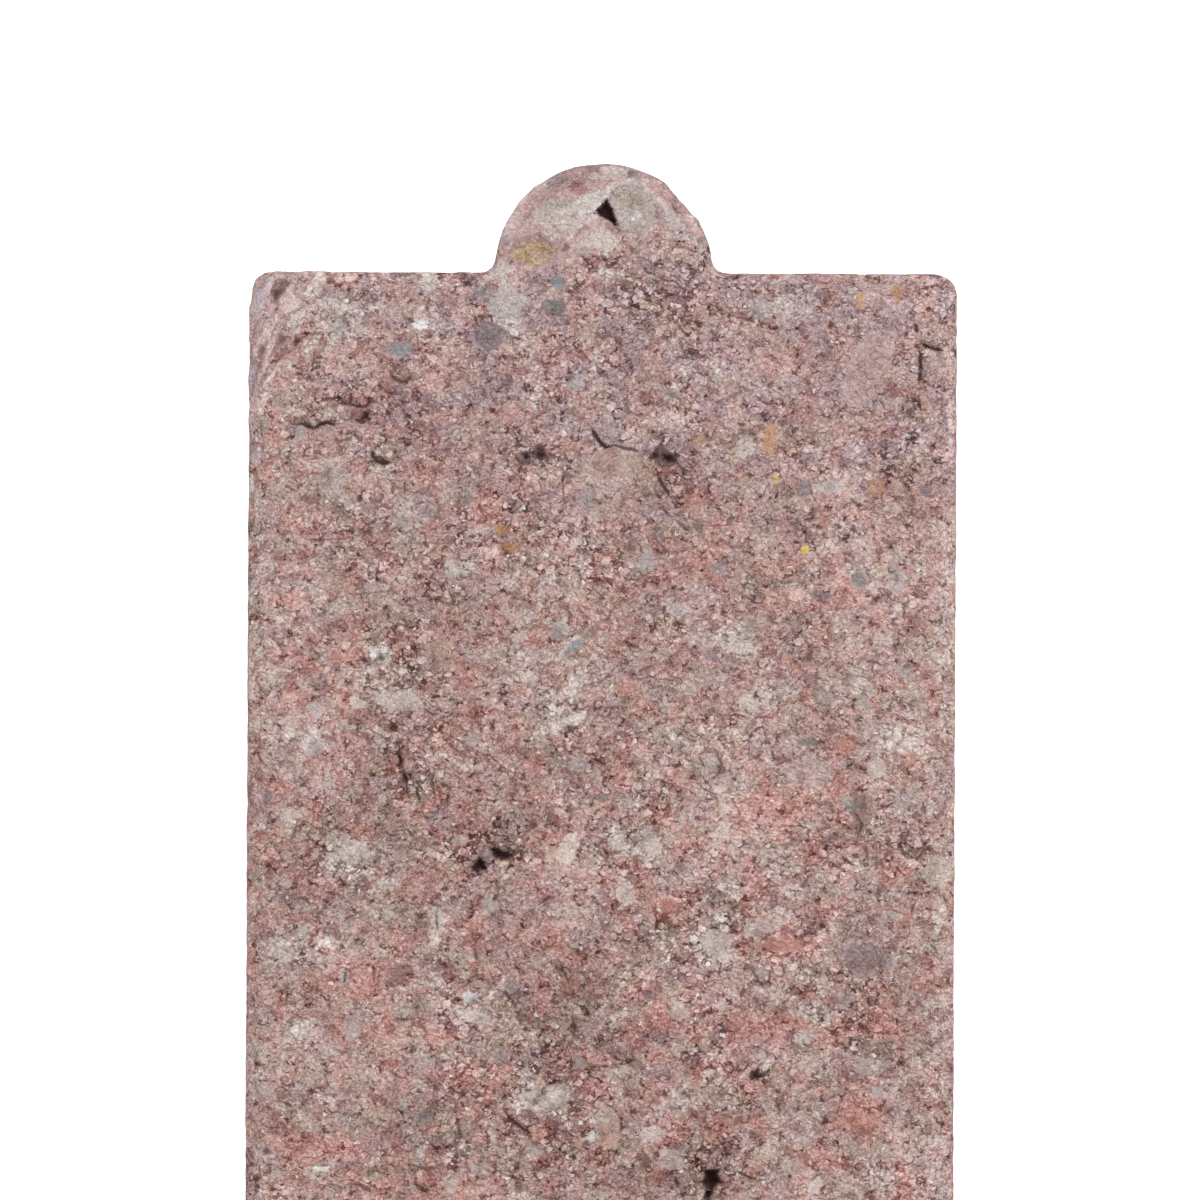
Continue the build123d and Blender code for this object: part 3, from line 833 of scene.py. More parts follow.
def wall(top_run, bed_run):
    """The wall between the caps, unrolled: its points, along the outline and down, and its triangles.

    The top rim's points come first, then the bed rim's. The last of each is its first once more.
    """
    row_gap = top_turn / 3
    straight_end = wall_drop - bed_turn
    rows = [row_gap, 2 * row_gap, top_turn, straight_end, wall_drop - bed_turn / 2]
    top_stops = np.append(top_run, around)
    bed_stops = np.append(bed_run, around)
    rims = [np.stack([top_stops, 0 * top_stops], 1), np.stack([bed_stops, 0 * bed_stops + wall_drop], 1)]
    edge_runs = [top_stops] * 3 + [bed_stops] * 2
    edge_rows = [np.stack([run, 0 * run + down], 1) for run, down in zip(edge_runs, rows)]
    ends_down = stops(lambda down: wall_spacing(np.stack([0 * down, down], 1)), top_turn, straight_end)[1:-1]
    ends = [np.stack([0 * ends_down + run, ends_down], 1) for run in (0, around)]
    inner = pattern((0, 0), (around, top_turn), wall_spacing, fine_spacing)
    lower = pattern((0, top_turn), (around, wall_drop), wall_spacing, fine_spacing * 2)
    inner = np.concatenate([inner, lower])
    gap = wall_spacing(inner) * clear_share
    clear = (inner[:, 0] > gap) & (inner[:, 0] < around - gap)
    for down in [0, *rows, wall_drop]:
        least = np.minimum(gap, row_gap * clear_share) if down <= top_turn else gap
        clear &= np.abs(inner[:, 1] - down) > least
    points = np.concatenate([*rims, *edge_rows, *ends, inner[clear]])
    return points, triangles(points)


def settle(places):
    """Where wall places stand in space, with the outward direction of each."""
    point, way = along_outline(places[:, 0])
    down = places[:, 1]
    top_angle = np.clip(down / top_edge_radius, 0, math.pi / 2)
    bed_angle = np.clip((down - wall_drop + bed_turn) / bed_edge_radius, 0, math.pi / 2)
    inset = top_edge_radius * (1 - np.sin(top_angle)) + bed_edge_radius * (1 - np.cos(bed_angle))
    straight = np.clip(down - top_turn, 0, wall_drop - top_turn - bed_turn)
    z = top_z - top_edge_radius * (1 - np.cos(top_angle)) - straight - bed_edge_radius * np.sin(bed_angle)
    flat = point - way * inset[:, None]
    rise = np.cos(top_angle) * (top_angle < math.pi / 2) - np.sin(bed_angle)
    level = np.sqrt(np.maximum(1 - rise ** 2, 0))
    return np.column_stack([flat, z]), np.column_stack([way * level[:, None], rise])


def smooth(low_end, high_end, value):
    """0 below the low end, 1 above the high end, and a smooth rise between."""
    t = np.clip((value - low_end) / (high_end - low_end), 0, 1)
    return t * t * (3 - 2 * t)


def cloud(places, size, seed, octaves=1):
    """Smooth noise, about from -1 to 1, with swells of a size."""
    scaled = places / size + seed * 17.3
    total = np.zeros(len(places))
    for octave in range(octaves):
        total += [noise.noise(p) for p in (scaled * 2 ** octave).tolist()] * np.array(0.6 ** octave)
    return total


random_table = np.random.default_rng(5).random((64, 64, 64, 4))


def grains(places, size, seed):
    """Points strewn at a mean spacing: how many spacings off the nearest two are, and the nearest's lot."""
    scaled = places / size + seed * 7.7
    base = np.floor(scaled).astype(int)
    first = np.full(len(places), 9.0)
    second = first.copy()
    lot = np.zeros(len(places))
    for step in product((-1, 0, 1), repeat=3):
        cell = base + step
        random = random_table[tuple((cell & 63).T)]
        off = np.linalg.norm(cell + random[:, :3] - scaled, axis=1)
        second = np.minimum(second, np.maximum(first, off))
        lot = np.where(off < first, random[:, 3], lot)
        first = np.minimum(first, off)
    return first, second, lot


def off_centre(pixels, oval):
    """How far pixels lie from a stone's or a patch's centre, as a share of its size: 1 on its edge."""
    turn = math.radians(oval.turn)
    across, down = (pixels - (oval.column, oval.row)).T
    along = across * math.cos(turn) + down * math.sin(turn)
    aside = down * math.cos(turn) - across * math.sin(turn)
    return np.hypot(along / oval.half_width, aside / oval.half_height)


def break_corner(places):
    """Presses places onto the plane of the chipped corner where they stand out of it."""
    on_end = Vector((end_x, side_y - chip_along_end, top_z))
    on_side = Vector((end_x - chip_along_side, side_y, top_z))
    below = Vector((end_x, side_y, top_z - chip_depth))
    return press(places, on_end, (below - on_end).cross(on_side - on_end))


def wear_tongue(places):
    """Presses places onto the slope on top of the tongue where they stand out of it."""
    start = Vector((end_x + wear_start, 0, top_z))
    tip = Vector((end_x + tongue_radius, 0, top_z - wear_drop))
    return press(places, start, (tip - start).cross(Vector((0, 1, 0))))


def press(places, origin, way):
    way = np.array(way.normalized())
    out = (places - np.array(origin)) @ way
    return places - np.maximum(out, 0)[:, None] * way, out > 0


# Where the faces lie in the bake's picture: left, bottom, right and top, as shares of its sides
island_shares = {
    "photographed": (0.004, 0.004, 0.826, 0.582),
    "top": (0.004, 0.590, 0.996, 0.652),
    "bed": (0.004, 0.658, 0.996, 0.702),
    "first_side": (0.004, 0.708, 0.996, 0.850),
    "second_side": (0.004, 0.856, 0.996, 0.996),
    "tongue_end": (0.834, 0.004, 0.996, 0.290),
    "groove_end": (0.834, 0.298, 0.996, 0.582),
}
corner_share = 0.3  # of the corner's radius, that belongs to the side and not to the end


class Curb:
    """The curb's mesh as arrays, with what its surface is like at each point."""

    def __init__(self):
        top_run = stops(lambda run: top_spacing(along_outline(run)[0]), 0, around)[:-1]
        bed_run = stops(bend_spacing, 0, around)[:-1]
        relief = top_place(relief_points())
        top_points, top_faces = cap(top_run, top_edge_radius, top_spacing, finest_spacing, relief)
        bed_points, bed_faces = cap(bed_run, bed_edge_radius, bed_spacing, coarse_spacing, [])
        wall_points, wall_faces = wall(top_run, bed_run)
        self.join(top_points, bed_points, wall_points, len(top_run), len(bed_run))
        self.faces = np.concatenate([
            self.top_numbers[top_faces],
            self.bed_numbers[bed_faces][:, ::-1],
            self.wall_numbers[wall_faces][:, ::-1],
        ])
        self.unroll(top_points, top_faces, bed_points, bed_faces, wall_points, wall_faces)

    def join(self, top_points, bed_points, wall_points, top_count, bed_count):
        """Numbers the points: the caps share their rims with the wall, and the wall closes on itself."""
        wall_places, wall_ways = settle(wall_points)
        top_inner = np.column_stack([top_points[top_count:], np.full(len(top_points) - top_count, top_z)])
        bed_inner = np.column_stack([bed_points[bed_count:], np.zeros(len(bed_points) - bed_count)])
        numbers = np.arange(len(wall_points))
        closes = np.isclose(wall_points[:, 0], around)
        starts = np.nonzero(np.isclose(wall_points[:, 0], 0))[0]
        by_depth = {round(wall_points[n, 1] / mm, 4): n for n in starts}
        for n in np.nonzero(closes)[0]:
            numbers[n] = by_depth[round(wall_points[n, 1] / mm, 4)]
        kept, packed = np.unique(numbers, return_inverse=True)
        self.wall_numbers = packed
        wall_count = len(kept)
        self.top_numbers = np.concatenate([packed[:top_count], wall_count + np.arange(len(top_inner))])
        bed_rim = packed[top_count + 1 + np.arange(bed_count)]
        bed_start = wall_count + len(top_inner)
        self.bed_numbers = np.concatenate([bed_rim, bed_start + np.arange(len(bed_inner))])
        self.places = np.concatenate([wall_places[kept], top_inner, bed_inner])
        up = np.tile([0.0, 0.0, 1.0], (len(top_inner), 1))
        down = np.tile([0.0, 0.0, -1.0], (len(bed_inner), 1))
        self.ways = np.concatenate([wall_ways[kept], up, down])
        self.spacing = np.concatenate([
            wall_spacing(wall_points[kept]),
            top_spacing(top_points[top_count:]),
            bed_spacing(bed_points[bed_count:]),
        ])

    def unroll(self, top_points, top_faces, bed_points, bed_faces, wall_points, wall_faces):
        """Lays the faces out flat for baking. The photographed part gets about half of the picture."""
        seen_after = view_start - fine_spacing
        point, way = along_outline(wall_points[:, 0])
        rolled_out = point + way * (wall_points[:, 1] - top_edge_radius)[:, None]
        face_x = point[wall_faces][:, :, 0]
        face_y = np.abs(point[wall_faces][:, :, 1]).mean(1)
        on_edge = (wall_points[wall_faces][:, :, 1] <= top_turn + path_step / 2).all(1)
        top_seen = (top_points[top_faces][:, :, 0] > seen_after).all(1)
        edge_seen = on_edge & (face_x > seen_after).all(1)
        on_end = face_y < side_y - corner_radius * corner_share
        ahead = face_x.mean(1) > 0
        first_side = wall_points[wall_faces][:, :, 0].mean(1) < around / 2
        top_corners = top_points[top_faces]
        bed_corners = bed_points[bed_faces][:, ::-1]
        wall_corners = wall_points[wall_faces][:, ::-1]
        rolled_corners = rolled_out[wall_faces][:, ::-1]
        flat = np.concatenate([
            top_corners, bed_corners, np.where(edge_seen[:, None, None], rolled_corners, wall_corners),
        ])
        self.flat = np.concatenate([
            top_corners, bed_corners + bed_shift,
            np.where(on_edge[:, None, None], rolled_corners, wall_corners + wall_shift),
        ]) * draw_out / mm
        island = np.concatenate([
            np.where(top_seen, "photographed", "top"), np.full(len(bed_faces), "bed"),
            np.select([edge_seen, on_end & ahead, on_end, first_side],
                      ["photographed", "tongue_end", "groove_end", "first_side"], "second_side"),
        ])
        self.map = np.zeros_like(flat)
        for name, (left, bottom, right, top) in island_shares.items():
            chosen = island == name
            found = flat[chosen]
            least, most = found.min((0, 1)), found.max((0, 1))
            unit = (found - least) / (most - least)
            self.map[chosen] = np.array([left, bottom]) + unit * np.array([right - left, top - bottom])


# The relief of the cast surface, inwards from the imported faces
skin_depth = 0.10 * mm
open_depth = 0.20 * mm  # more of it on the pressed top face
swell_size = 14 * mm
small_swell_size = 2.6 * mm
swell_height = 0.10 * mm
small_swell_height = 0.06 * mm
loose_size = 7 * mm
lump_size = 1.3 * mm
lump_height = 0.20 * mm
between_size = 3 * mm
crumb_size = 0.62 * mm
crumb_height = 0.06 * mm
pore_spacing = 3.4 * mm
pore_size = 0.9 * mm
pore_depth = 0.55 * mm
edge_wear = 0.35 * mm
edge_wear_size = 5 * mm
rubbed_size = 1.2 * mm
rubbed_height = 0.05 * mm
bed_size = 20 * mm
bed_depth = 0.05 * mm
rill_height = 0.22 * mm
ridge_height = 0.15 * mm
streak_height = 0.10 * mm
flake_height = 0.60 * mm
break_depth = 0.55 * mm
break_skin = 0.30 * mm  # of the relief, that breaking and wear took away
crack_share = 0.5  # of a crack's depth, that the mesh has. The crack's painted shade stands for the rest.

# How the outlines of the listed marks waver: the size, and how far in pixels
wander_size = 1.6 * mm
wander_reach = 4.0
tremor_size = 0.8 * mm
tremor_reach = 1.6

upper_depths = (6 * mm, 3 * mm)  # below the top, where the listed marks start and are full
photo_fade = 20 * mm
resolved_steps = (1.3, 2.6)  # of the mesh to a swell, between which relief fades in
rim_fade = 2  # pixels

# How crumbly the mortar is
loose_swells = (-0.05, 0.55)  # of the noise, between which it comes by chance
chance_share = 0.75
chipped_share = 0.8  # of a break's smoothness
broken_share = 0.95  # of the crumbs, that a break leaves off
pressed_share = 0.85
stone_share = 0.9

# How light or dark it is: tones in steps of shade, and marks from 0 to 1 for the painted shade in gaps, pits
# and cracks
tone_size = 45 * mm
tone_steps = 1.25  # for a placed tone of strength 1
chance_tone = 0.22
gap_shade_mark = 0.6  # how dark the painted shade is in a gap that is no placed pit or crack
deepest_shade_mark = 0.95
pit_shade_mark = 0.25
pit_shade_growth = 0.45  # for each mm of depth
crack_shade_mark = 0.45
crack_shade_growth = 0.5  # for each mm of depth
mark_reach = 0.5  # mm, as far as the notes of distances go


def dress(curb):
    """Presses the relief into the curb and notes what its surface is like at each point."""
    places, ways = curb.places, curb.ways
    pixels = photo_place(wear_tongue(break_corner(places)[0])[0])
    wander = np.column_stack([cloud(places, wander_size, seed, 2) for seed in (1, 2)]) * wander_reach
    tremor = np.column_stack([cloud(places, tremor_size, seed) for seed in (21, 22)]) * tremor_reach
    by_eye = pixels + wander
    upper = smooth(top_z - upper_depths[0], top_z - upper_depths[1], places[:, 2])
    seen = upper * smooth(view_start - photo_fade, view_start, places[:, 0])

    def resolved(size):
        return smooth(*resolved_steps, size / curb.spacing)

    # Zones
    broken = smooth(-rim_fade, rim_fade, inside_area(pixels + tremor, tongue_break)) * upper
    beyond_ridge = inside_area(pixels + tremor, chip_area)
    chipped = smooth(-rim_fade, rim_fade, beyond_ridge) * upper
    pressed_rim = smooth(*pressed_rim_rows, pixels[:, 1]) * smooth(*pressed_rim_columns, pixels[:, 0])
    pressed = np.maximum(patch_field(by_eye, pressed_patches), pressed_rim) * upper
    loose = patch_field(by_eye, loose_patches) * upper
    by_chance = smooth(*loose_swells, cloud(places, loose_size, 3, 3)) * chance_share
    smoothed = np.maximum(broken, chipped * chipped_share)
    crumbly = np.maximum(by_chance, loose)
    crumbly *= (1 - broken_share * smoothed) * (1 - pressed_share * pressed)

    # Stones: how far inside the nearest one each place lies, in mm, and its colour
    stone_reach = np.full(len(places), -1.0)
    inlay = np.zeros((len(places), 4))
    lift = np.zeros(len(places))
    inlays = [(inside_area(pixels + tremor, facet.corners), facet) for facet in facets.values()]
    for stone in stones:
        off = off_centre(by_eye, stone)
        inlays.append(((1 - off) * min(stone.half_width, stone.half_height), stone))
        lift += stone.proud * mm * smooth(1.0, 0.5, off) * upper
    for reach, kind in inlays:
        reach = np.where(upper > 0.5, reach * pixel / mm, -1.0)
        inlay[(reach > stone_reach) | (reach > 0)] = (*palette[kind.colour], kind.strength)
        stone_reach = np.maximum(stone_reach, reach)
        crumbly *= 1 - stone_share * smooth(-0.1, 0.1, reach)

    # Relief of the mortar
    level = smooth(0.5, 0.95, ways[:, 2])
    depth = skin_depth + open_depth * level
    for size, height, seed in ((swell_size, swell_height, 4), (small_swell_size, small_swell_height, 5)):
        depth -= height * cloud(places, size, seed, 2) * resolved(size) * (0.4 + 0.6 * level)
    stir = np.column_stack([cloud(places, lump_size, seed) for seed in (31, 32, 33)])
    uneven = places + stir * 0.25 * lump_size
    first, second, lot = grains(uneven, lump_size, 1)
    open_here = smooth(0.0, 0.5, cloud(places, between_size, 34, 2) + 0.4 * loose)
    between = smooth(0.20, 0.02, second - first) * open_here
    crevice = between * crumbly * resolved(lump_size)
    lumps = crevice + (first - 0.5) * 0.5 * crumbly * resolved(lump_size) - 0.3 * lot * crumbly
    depth += lump_height * lumps * (0.2 + 0.8 * level)
    first = grains(places, crumb_size, 2)[0]
    depth -= crumb_height * (1 - first * 1.4) * (0.4 + 0.6 * crumbly) * resolved(crumb_size)
    first, _, lot = grains(places, pore_spacing, 3)
    pore = smooth(0.15, 0.06, first) * (lot > 0.7) * crumbly * resolved(pore_size)
    depth += pore_depth * pore
    depth -= lift

    # The listed pits and cracks: how far inside them each place lies, in mm, and how dark their painted
    # shade is
    pore_reach = (pore - 0.6) * 0.3
    hollow = pore_reach
    hollow_shade = np.full(len(places), gap_shade_mark)
    crack_reach = np.full(len(places), -mark_reach)
    crack_shade = hollow_shade
    for pit in pits.values():
        reach = inside_area(pixels + tremor * 0.5, pit.corners)
        inside = smooth(-1.5, 3.5, reach) * upper
        depth = np.maximum(depth, pit.depth * mm * inside + depth * (1 - inside))
        reach = reach * pixel / mm
        dark = min(pit_shade_mark + pit_shade_growth * pit.depth, deepest_shade_mark)
        hollow_shade = np.where(reach > np.maximum(hollow, -0.4), dark, hollow_shade)
        hollow = np.maximum(hollow, reach)
    for crack in cracks:
        off, share = to_line(pixels + tremor * 0.4, crack.points)
        half = crack.width / 2 * np.sqrt(np.clip(np.minimum(share, 1 - share) * 4 + 0.1, 0, 1))
        depth += crack.depth * mm * crack_share * np.clip(1.4 - off / half, 0, 1) * upper
        reach = (half - off) * pixel / mm
        dark = min(crack_shade_mark + crack_shade_growth * crack.depth, deepest_shade_mark)
        crack_shade = np.where(reach > crack_reach, dark, crack_shade)
        crack_reach = np.maximum(crack_reach, reach)
    hollow = np.where(upper > 0.5, hollow, pore_reach)
    crack_reach = np.where(upper > 0.5, crack_reach, -mark_reach)

    # The tongue's flake stands above the break beside it, which falls away inwards from its rim
    flake_reach = inside_area(pixels + tremor, tongue_flake)
    flake = smooth(-3, 3, flake_reach) * upper
    depth -= flake_height * flake * smooth(*flake_rows, pixels[:, 1])
    depth += break_depth * smooth(0, 12, inside_area(pixels + tremor, tongue_break)) * (1 - flake) * upper

    # Rills run along the chip's ridge, across the broken corner. The shader paints them lighter on their
    # crests and darker in their troughs, as painted light and shade.
    start, end = np.array(chip_ridge[0], float), np.array(chip_ridge[-1], float)
    way = (end - start) / np.linalg.norm(end - start)
    along, aside = (by_eye - start) @ way, (by_eye - start) @ (-way[1], way[0])
    rills = cloud(np.column_stack([along / rill_length, aside / rill_width, 0 * along]), 1.0, 9, 3)
    rills = rills * np.maximum(chipped, smooth(-14, 0, beyond_ridge)) * upper
    depth -= rill_height * rills
    depth -= ridge_height * smooth(3, 0, to_line(pixels + tremor, chip_ridge)[0]) * upper

    streaks = np.zeros(len(places))
    for streak in pale_streaks.values():
        off = to_line(pixels + tremor * 0.6, streak.points)[0]
        streaks = np.maximum(streaks, streak.strength * smooth(streak.width, streak.width * 0.3, off))
    depth -= streak_height * streaks * broken

    # Worn edges
    edge = np.clip(1 - np.abs(ways).max(1), 0, 0.3) / 0.3
    depth += edge_wear * edge * smooth(-0.1, 0.7, cloud(places, edge_wear_size, 11, 3))
    rubbed = rubbed_height * cloud(places, rubbed_size, 12, 2) * resolved(rubbed_size)
    depth += np.where(ways[:, 2] < 0.7, rubbed, 0)
    depth = np.where(ways[:, 2] < -0.5, bed_depth * (1 + cloud(places, bed_size, 13)), depth)

    places = places - ways * np.maximum(depth, 0)[:, None]
    places, in_chip = break_corner(places)
    places, worn = wear_tongue(places)
    pressed_in = (depth - break_skin) * (in_chip | worn)
    places[:, 2] -= np.maximum(pressed_in, 0)
    cool = smooth(*cool_rows, pixels[:, 1]) * (0.35 + 0.65 * smooth(*cool_columns, pixels[:, 0])) * upper
    tone = patch_sum(pixels, tones) * upper * tone_steps
    tone += chance_tone * cloud(places, tone_size, 14, 2) * (1 - seen)
    curb.places = places
    curb.inlay = inlay
    curb.notes = {
        "crumbly": crumbly,
        "hollow": np.clip(hollow, -mark_reach, mark_reach),
        "crack": np.clip(crack_reach, -mark_reach, mark_reach),
        "hollow_shade": hollow_shade,
        "crack_shade": crack_shade,
        # where lumps part: relief in the mesh, and painted shade in the shader
        "crevice": crevice,
        "stone": np.clip(stone_reach, -mark_reach, mark_reach),
        "broken": np.maximum(broken, 0.6 * chipped),
        "pale": patch_field(by_eye, pale_patches) * upper,
        "streak": streaks * upper,
        "red": patch_field(by_eye, red_patches) * upper,
        "dark": patch_field(by_eye, dark_patches) * upper,
        "cool": cool,
        "tone": tone,
        "pressed": np.maximum(pressed, 0.35 * (1 - upper)),
        "rills": rills,
    }


def patch_sum(pixels, patches):
    """The patches' strengths added up at each place."""
    field = np.zeros(len(pixels))
    for patch in (Patch(*row) for row in patches):
        field += patch.strength * smooth(1.0, 0.0, off_centre(pixels, patch))
    return field


def patch_field(pixels, patches):
    """How strongly the patches cover each place."""
    field = np.zeros(len(pixels))
    for patch in (Patch(*row) for row in patches):
        field = np.maximum(field, patch.strength * smooth(1.6, 0.3, off_centre(pixels, patch)))
    return field


def to_mesh(curb, name):
    """Makes the Blender object of the curb's arrays."""
    mesh = bpy.data.meshes.new(name)
    mesh.vertices.add(len(curb.places))
    mesh.loops.add(curb.faces.size)
    mesh.polygons.add(len(curb.faces))

    def fill(items, what, values, kind=np.float32):
        items.foreach_set(what, values.astype(kind).ravel())

    fill(mesh.vertices, "co", curb.places)
    fill(mesh.loops, "vertex_index", curb.faces, np.int32)
    fill(mesh.polygons, "loop_start", np.arange(0, curb.faces.size, 3), np.int32)
    fill(mesh.polygons, "loop_total", np.full(len(curb.faces), 3), np.int32)
    fill(mesh.polygons, "use_smooth", np.ones(len(curb.faces)), bool)
    fill(mesh.uv_layers.new(name="OFBake").uv, "vector", curb.map)
    flat = np.concatenate([curb.flat.reshape(-1, 2), np.zeros((curb.faces.size, 1))], 1)
    fill(mesh.attributes.new("flat", "FLOAT_VECTOR", "CORNER").data, "vector", flat)
    for note, values in curb.notes.items():
        fill(mesh.attributes.new(note, "FLOAT", "POINT").data, "value", values)
    fill(mesh.attributes.new("inlay", "FLOAT_COLOR", "POINT").data, "color", curb.inlay)
    mesh.update(calc_edges=True)
    made = bpy.data.objects.new(name, mesh)
    bpy.context.scene.collection.objects.link(made)
    return made


class Nodes:
    """The nodes of a material or a world, added by short calls."""

    def __init__(self, owner):
        owner.use_nodes = True
        self.tree = owner.node_tree
        self.tree.nodes.clear()

    def node(self, kind, inputs=None, **settings):
        made = self.tree.nodes.new(kind)
        for name, value in settings.items():
            setattr(made, name, value)
        for name, value in (inputs or {}).items():
            if isinstance(value, bpy.types.NodeSocket):
                self.tree.links.new(value, made.inputs[name])
            else:
                made.inputs[name].default_value = value
        return made

    def maths(self, operation, *values):
        return self.node("ShaderNodeMath", dict(enumerate(values)), operation=operation).outputs[0]

    def sum(self, first, *more):
        for value in more:
            first = self.maths("ADD", first, value)
        return first

    def times(self, a, b):
        return self.maths("MULTIPLY", a, b)

    def larger(self, a, b):
        return self.maths("MAXIMUM", a, b)

    def less(self, a, b):
        return self.maths("SUBTRACT", a, b)

    def swing(self, value, amount):
        """A value from 0 to 1 made to swing evenly about 0 by an amount."""
        return self.maths("MULTIPLY_ADD", value, amount, -amount / 2)

    def attribute(self, name):
        return self.node("ShaderNodeAttribute", attribute_name=name).outputs

    def note(self, name):
        """One of the curb's notes, as a value."""
        return self.attribute(name)["Fac"]

    def lines(self, value, reach, fade):
        """Curved lines where noise is near the middle of its range: 1 close to it, 0 beyond a reach."""
        return self.rise(self.maths("ABSOLUTE", self.less(value, 0.5)), reach, fade)

    def rise(self, value, start, end, low_value=0.0, high_value=1.0):
        """A smooth change from the low value to the high one while value goes from start to end."""
        names = ("Value", "From Min", "From Max", "To Min", "To Max")
        inputs = dict(zip(names, (value, start, end, low_value, high_value)))
        return self.node("ShaderNodeMapRange", inputs, interpolation_type="SMOOTHSTEP").outputs["Result"]

    def blend(self, share, a, b):
        """Colour a, or b where the share is 1."""
        made = self.node("ShaderNodeMix", data_type="RGBA")
        for socket, value in ((made.inputs[0], share), (made.inputs[6], a), (made.inputs[7], b)):
            if isinstance(value, bpy.types.NodeSocket):
                self.tree.links.new(value, socket)
            else:
                socket.default_value = value if socket.type == "VALUE" else (*value, 1.0)
        return made.outputs[2]

    def shade(self, colour, steps):
        """The colour made lighter and greyer or darker and redder by steps, two of which double it."""
        factor = self.maths("POWER", 2.0, self.times(steps, 0.5))
        scaled = self.node("ShaderNodeVectorMath", {0: colour, 3: factor}, operation="SCALE").outputs[0]
        power = self.less(1.0, self.times(steps, 0.28))
        return self.node("ShaderNodeGamma", {0: scaled, 1: power}).outputs[0]

    def shift(self, place, by, amount):
        """The place moved in plan by a colour that is noise from 0 to 1."""
        moved = self.vector("MULTIPLY", self.vector("SUBTRACT", by, (0.5, 0.5, 0.5)), (amount, amount, 0.0))
        return self.vector("ADD", place, moved)

    def vector(self, operation, a, b):
        return self.node("ShaderNodeVectorMath", {0: a, 1: b}, operation=operation).outputs[0]

    def noise(self, place, size, detail=1.0, roughness=0.5, dimensions="2D"):
        """Noise from 0 to 1 with swells of a size in mm: one value, and three in a colour."""
        inputs = {"Vector": place, "Scale": 1 / size, "Detail": detail, "Roughness": roughness}
        return self.node("ShaderNodeTexNoise", inputs, noise_dimensions=dimensions).outputs

    def cells(self, place, size):
        """Cells of a size in mm: the distance to their middles, and random numbers in a colour."""
        inputs = {"Vector": place, "Scale": 1 / size}
        return self.node("ShaderNodeTexVoronoi", inputs, voronoi_dimensions="2D").outputs

    def parts(self, colour):
        return self.node("ShaderNodeSeparateColor", {0: colour}).outputs


# Sizes of the mortar's patterns, in mm
ragged_size = 0.42
curl_size = 1.8
crumb_cell = 0.72
small_crumb_cell = 0.36
speckle_size = 0.25
mottle_size = 1.15
hue_size = 2.3
patch_size = 3.4
cloud_size = 5.5
gap_size = 0.9
line_size = 1.05

smear_stretch = (4.5, 0.8, 1.0)  # smears to the mm, along the curb and across it
pattern_turn = math.radians(34)  # keeps the patterns' own directions off the curb's
grain_bump = 0.12 * mm

# Colours of the concrete
mortar = (0.493, 0.297, 0.268)
beige_mortar = (0.460, 0.332, 0.282)
lilac_mortar = (0.402, 0.278, 0.286)
red_mortar = (0.520, 0.260, 0.228)
lime = (0.550, 0.450, 0.415)
fresh_break = (0.54, 0.360, 0.335)
cool_tint = (0.98, 1.0, 1.03)
# The tint of the painted shade in the gaps between crumbs
gap_shade_tint = (0.97, 0.92, 0.92)
# The colour of the painted shade deep in pits, pores and cracks
pit_shade_colour = (0.062, 0.030, 0.029)
white = (1.0, 1.0, 1.0)


def crumb_field(paint, place, size, least, most):
    """Crumbs of a size in mm: how much of one is here, a painted shadow just outside its outline, and its
    random numbers.
    """
    cells = paint.cells(place, size)
    lots = paint.parts(cells[1])
    beyond = paint.less(cells[0], paint.rise(lots[0], 0.0, 1.0, least, most))
    crumb = paint.rise(beyond, 0.05, -0.07)
    outline = paint.times(paint.rise(beyond, 0.20, 0.04), paint.less(1.0, crumb))
    return crumb, outline, lots


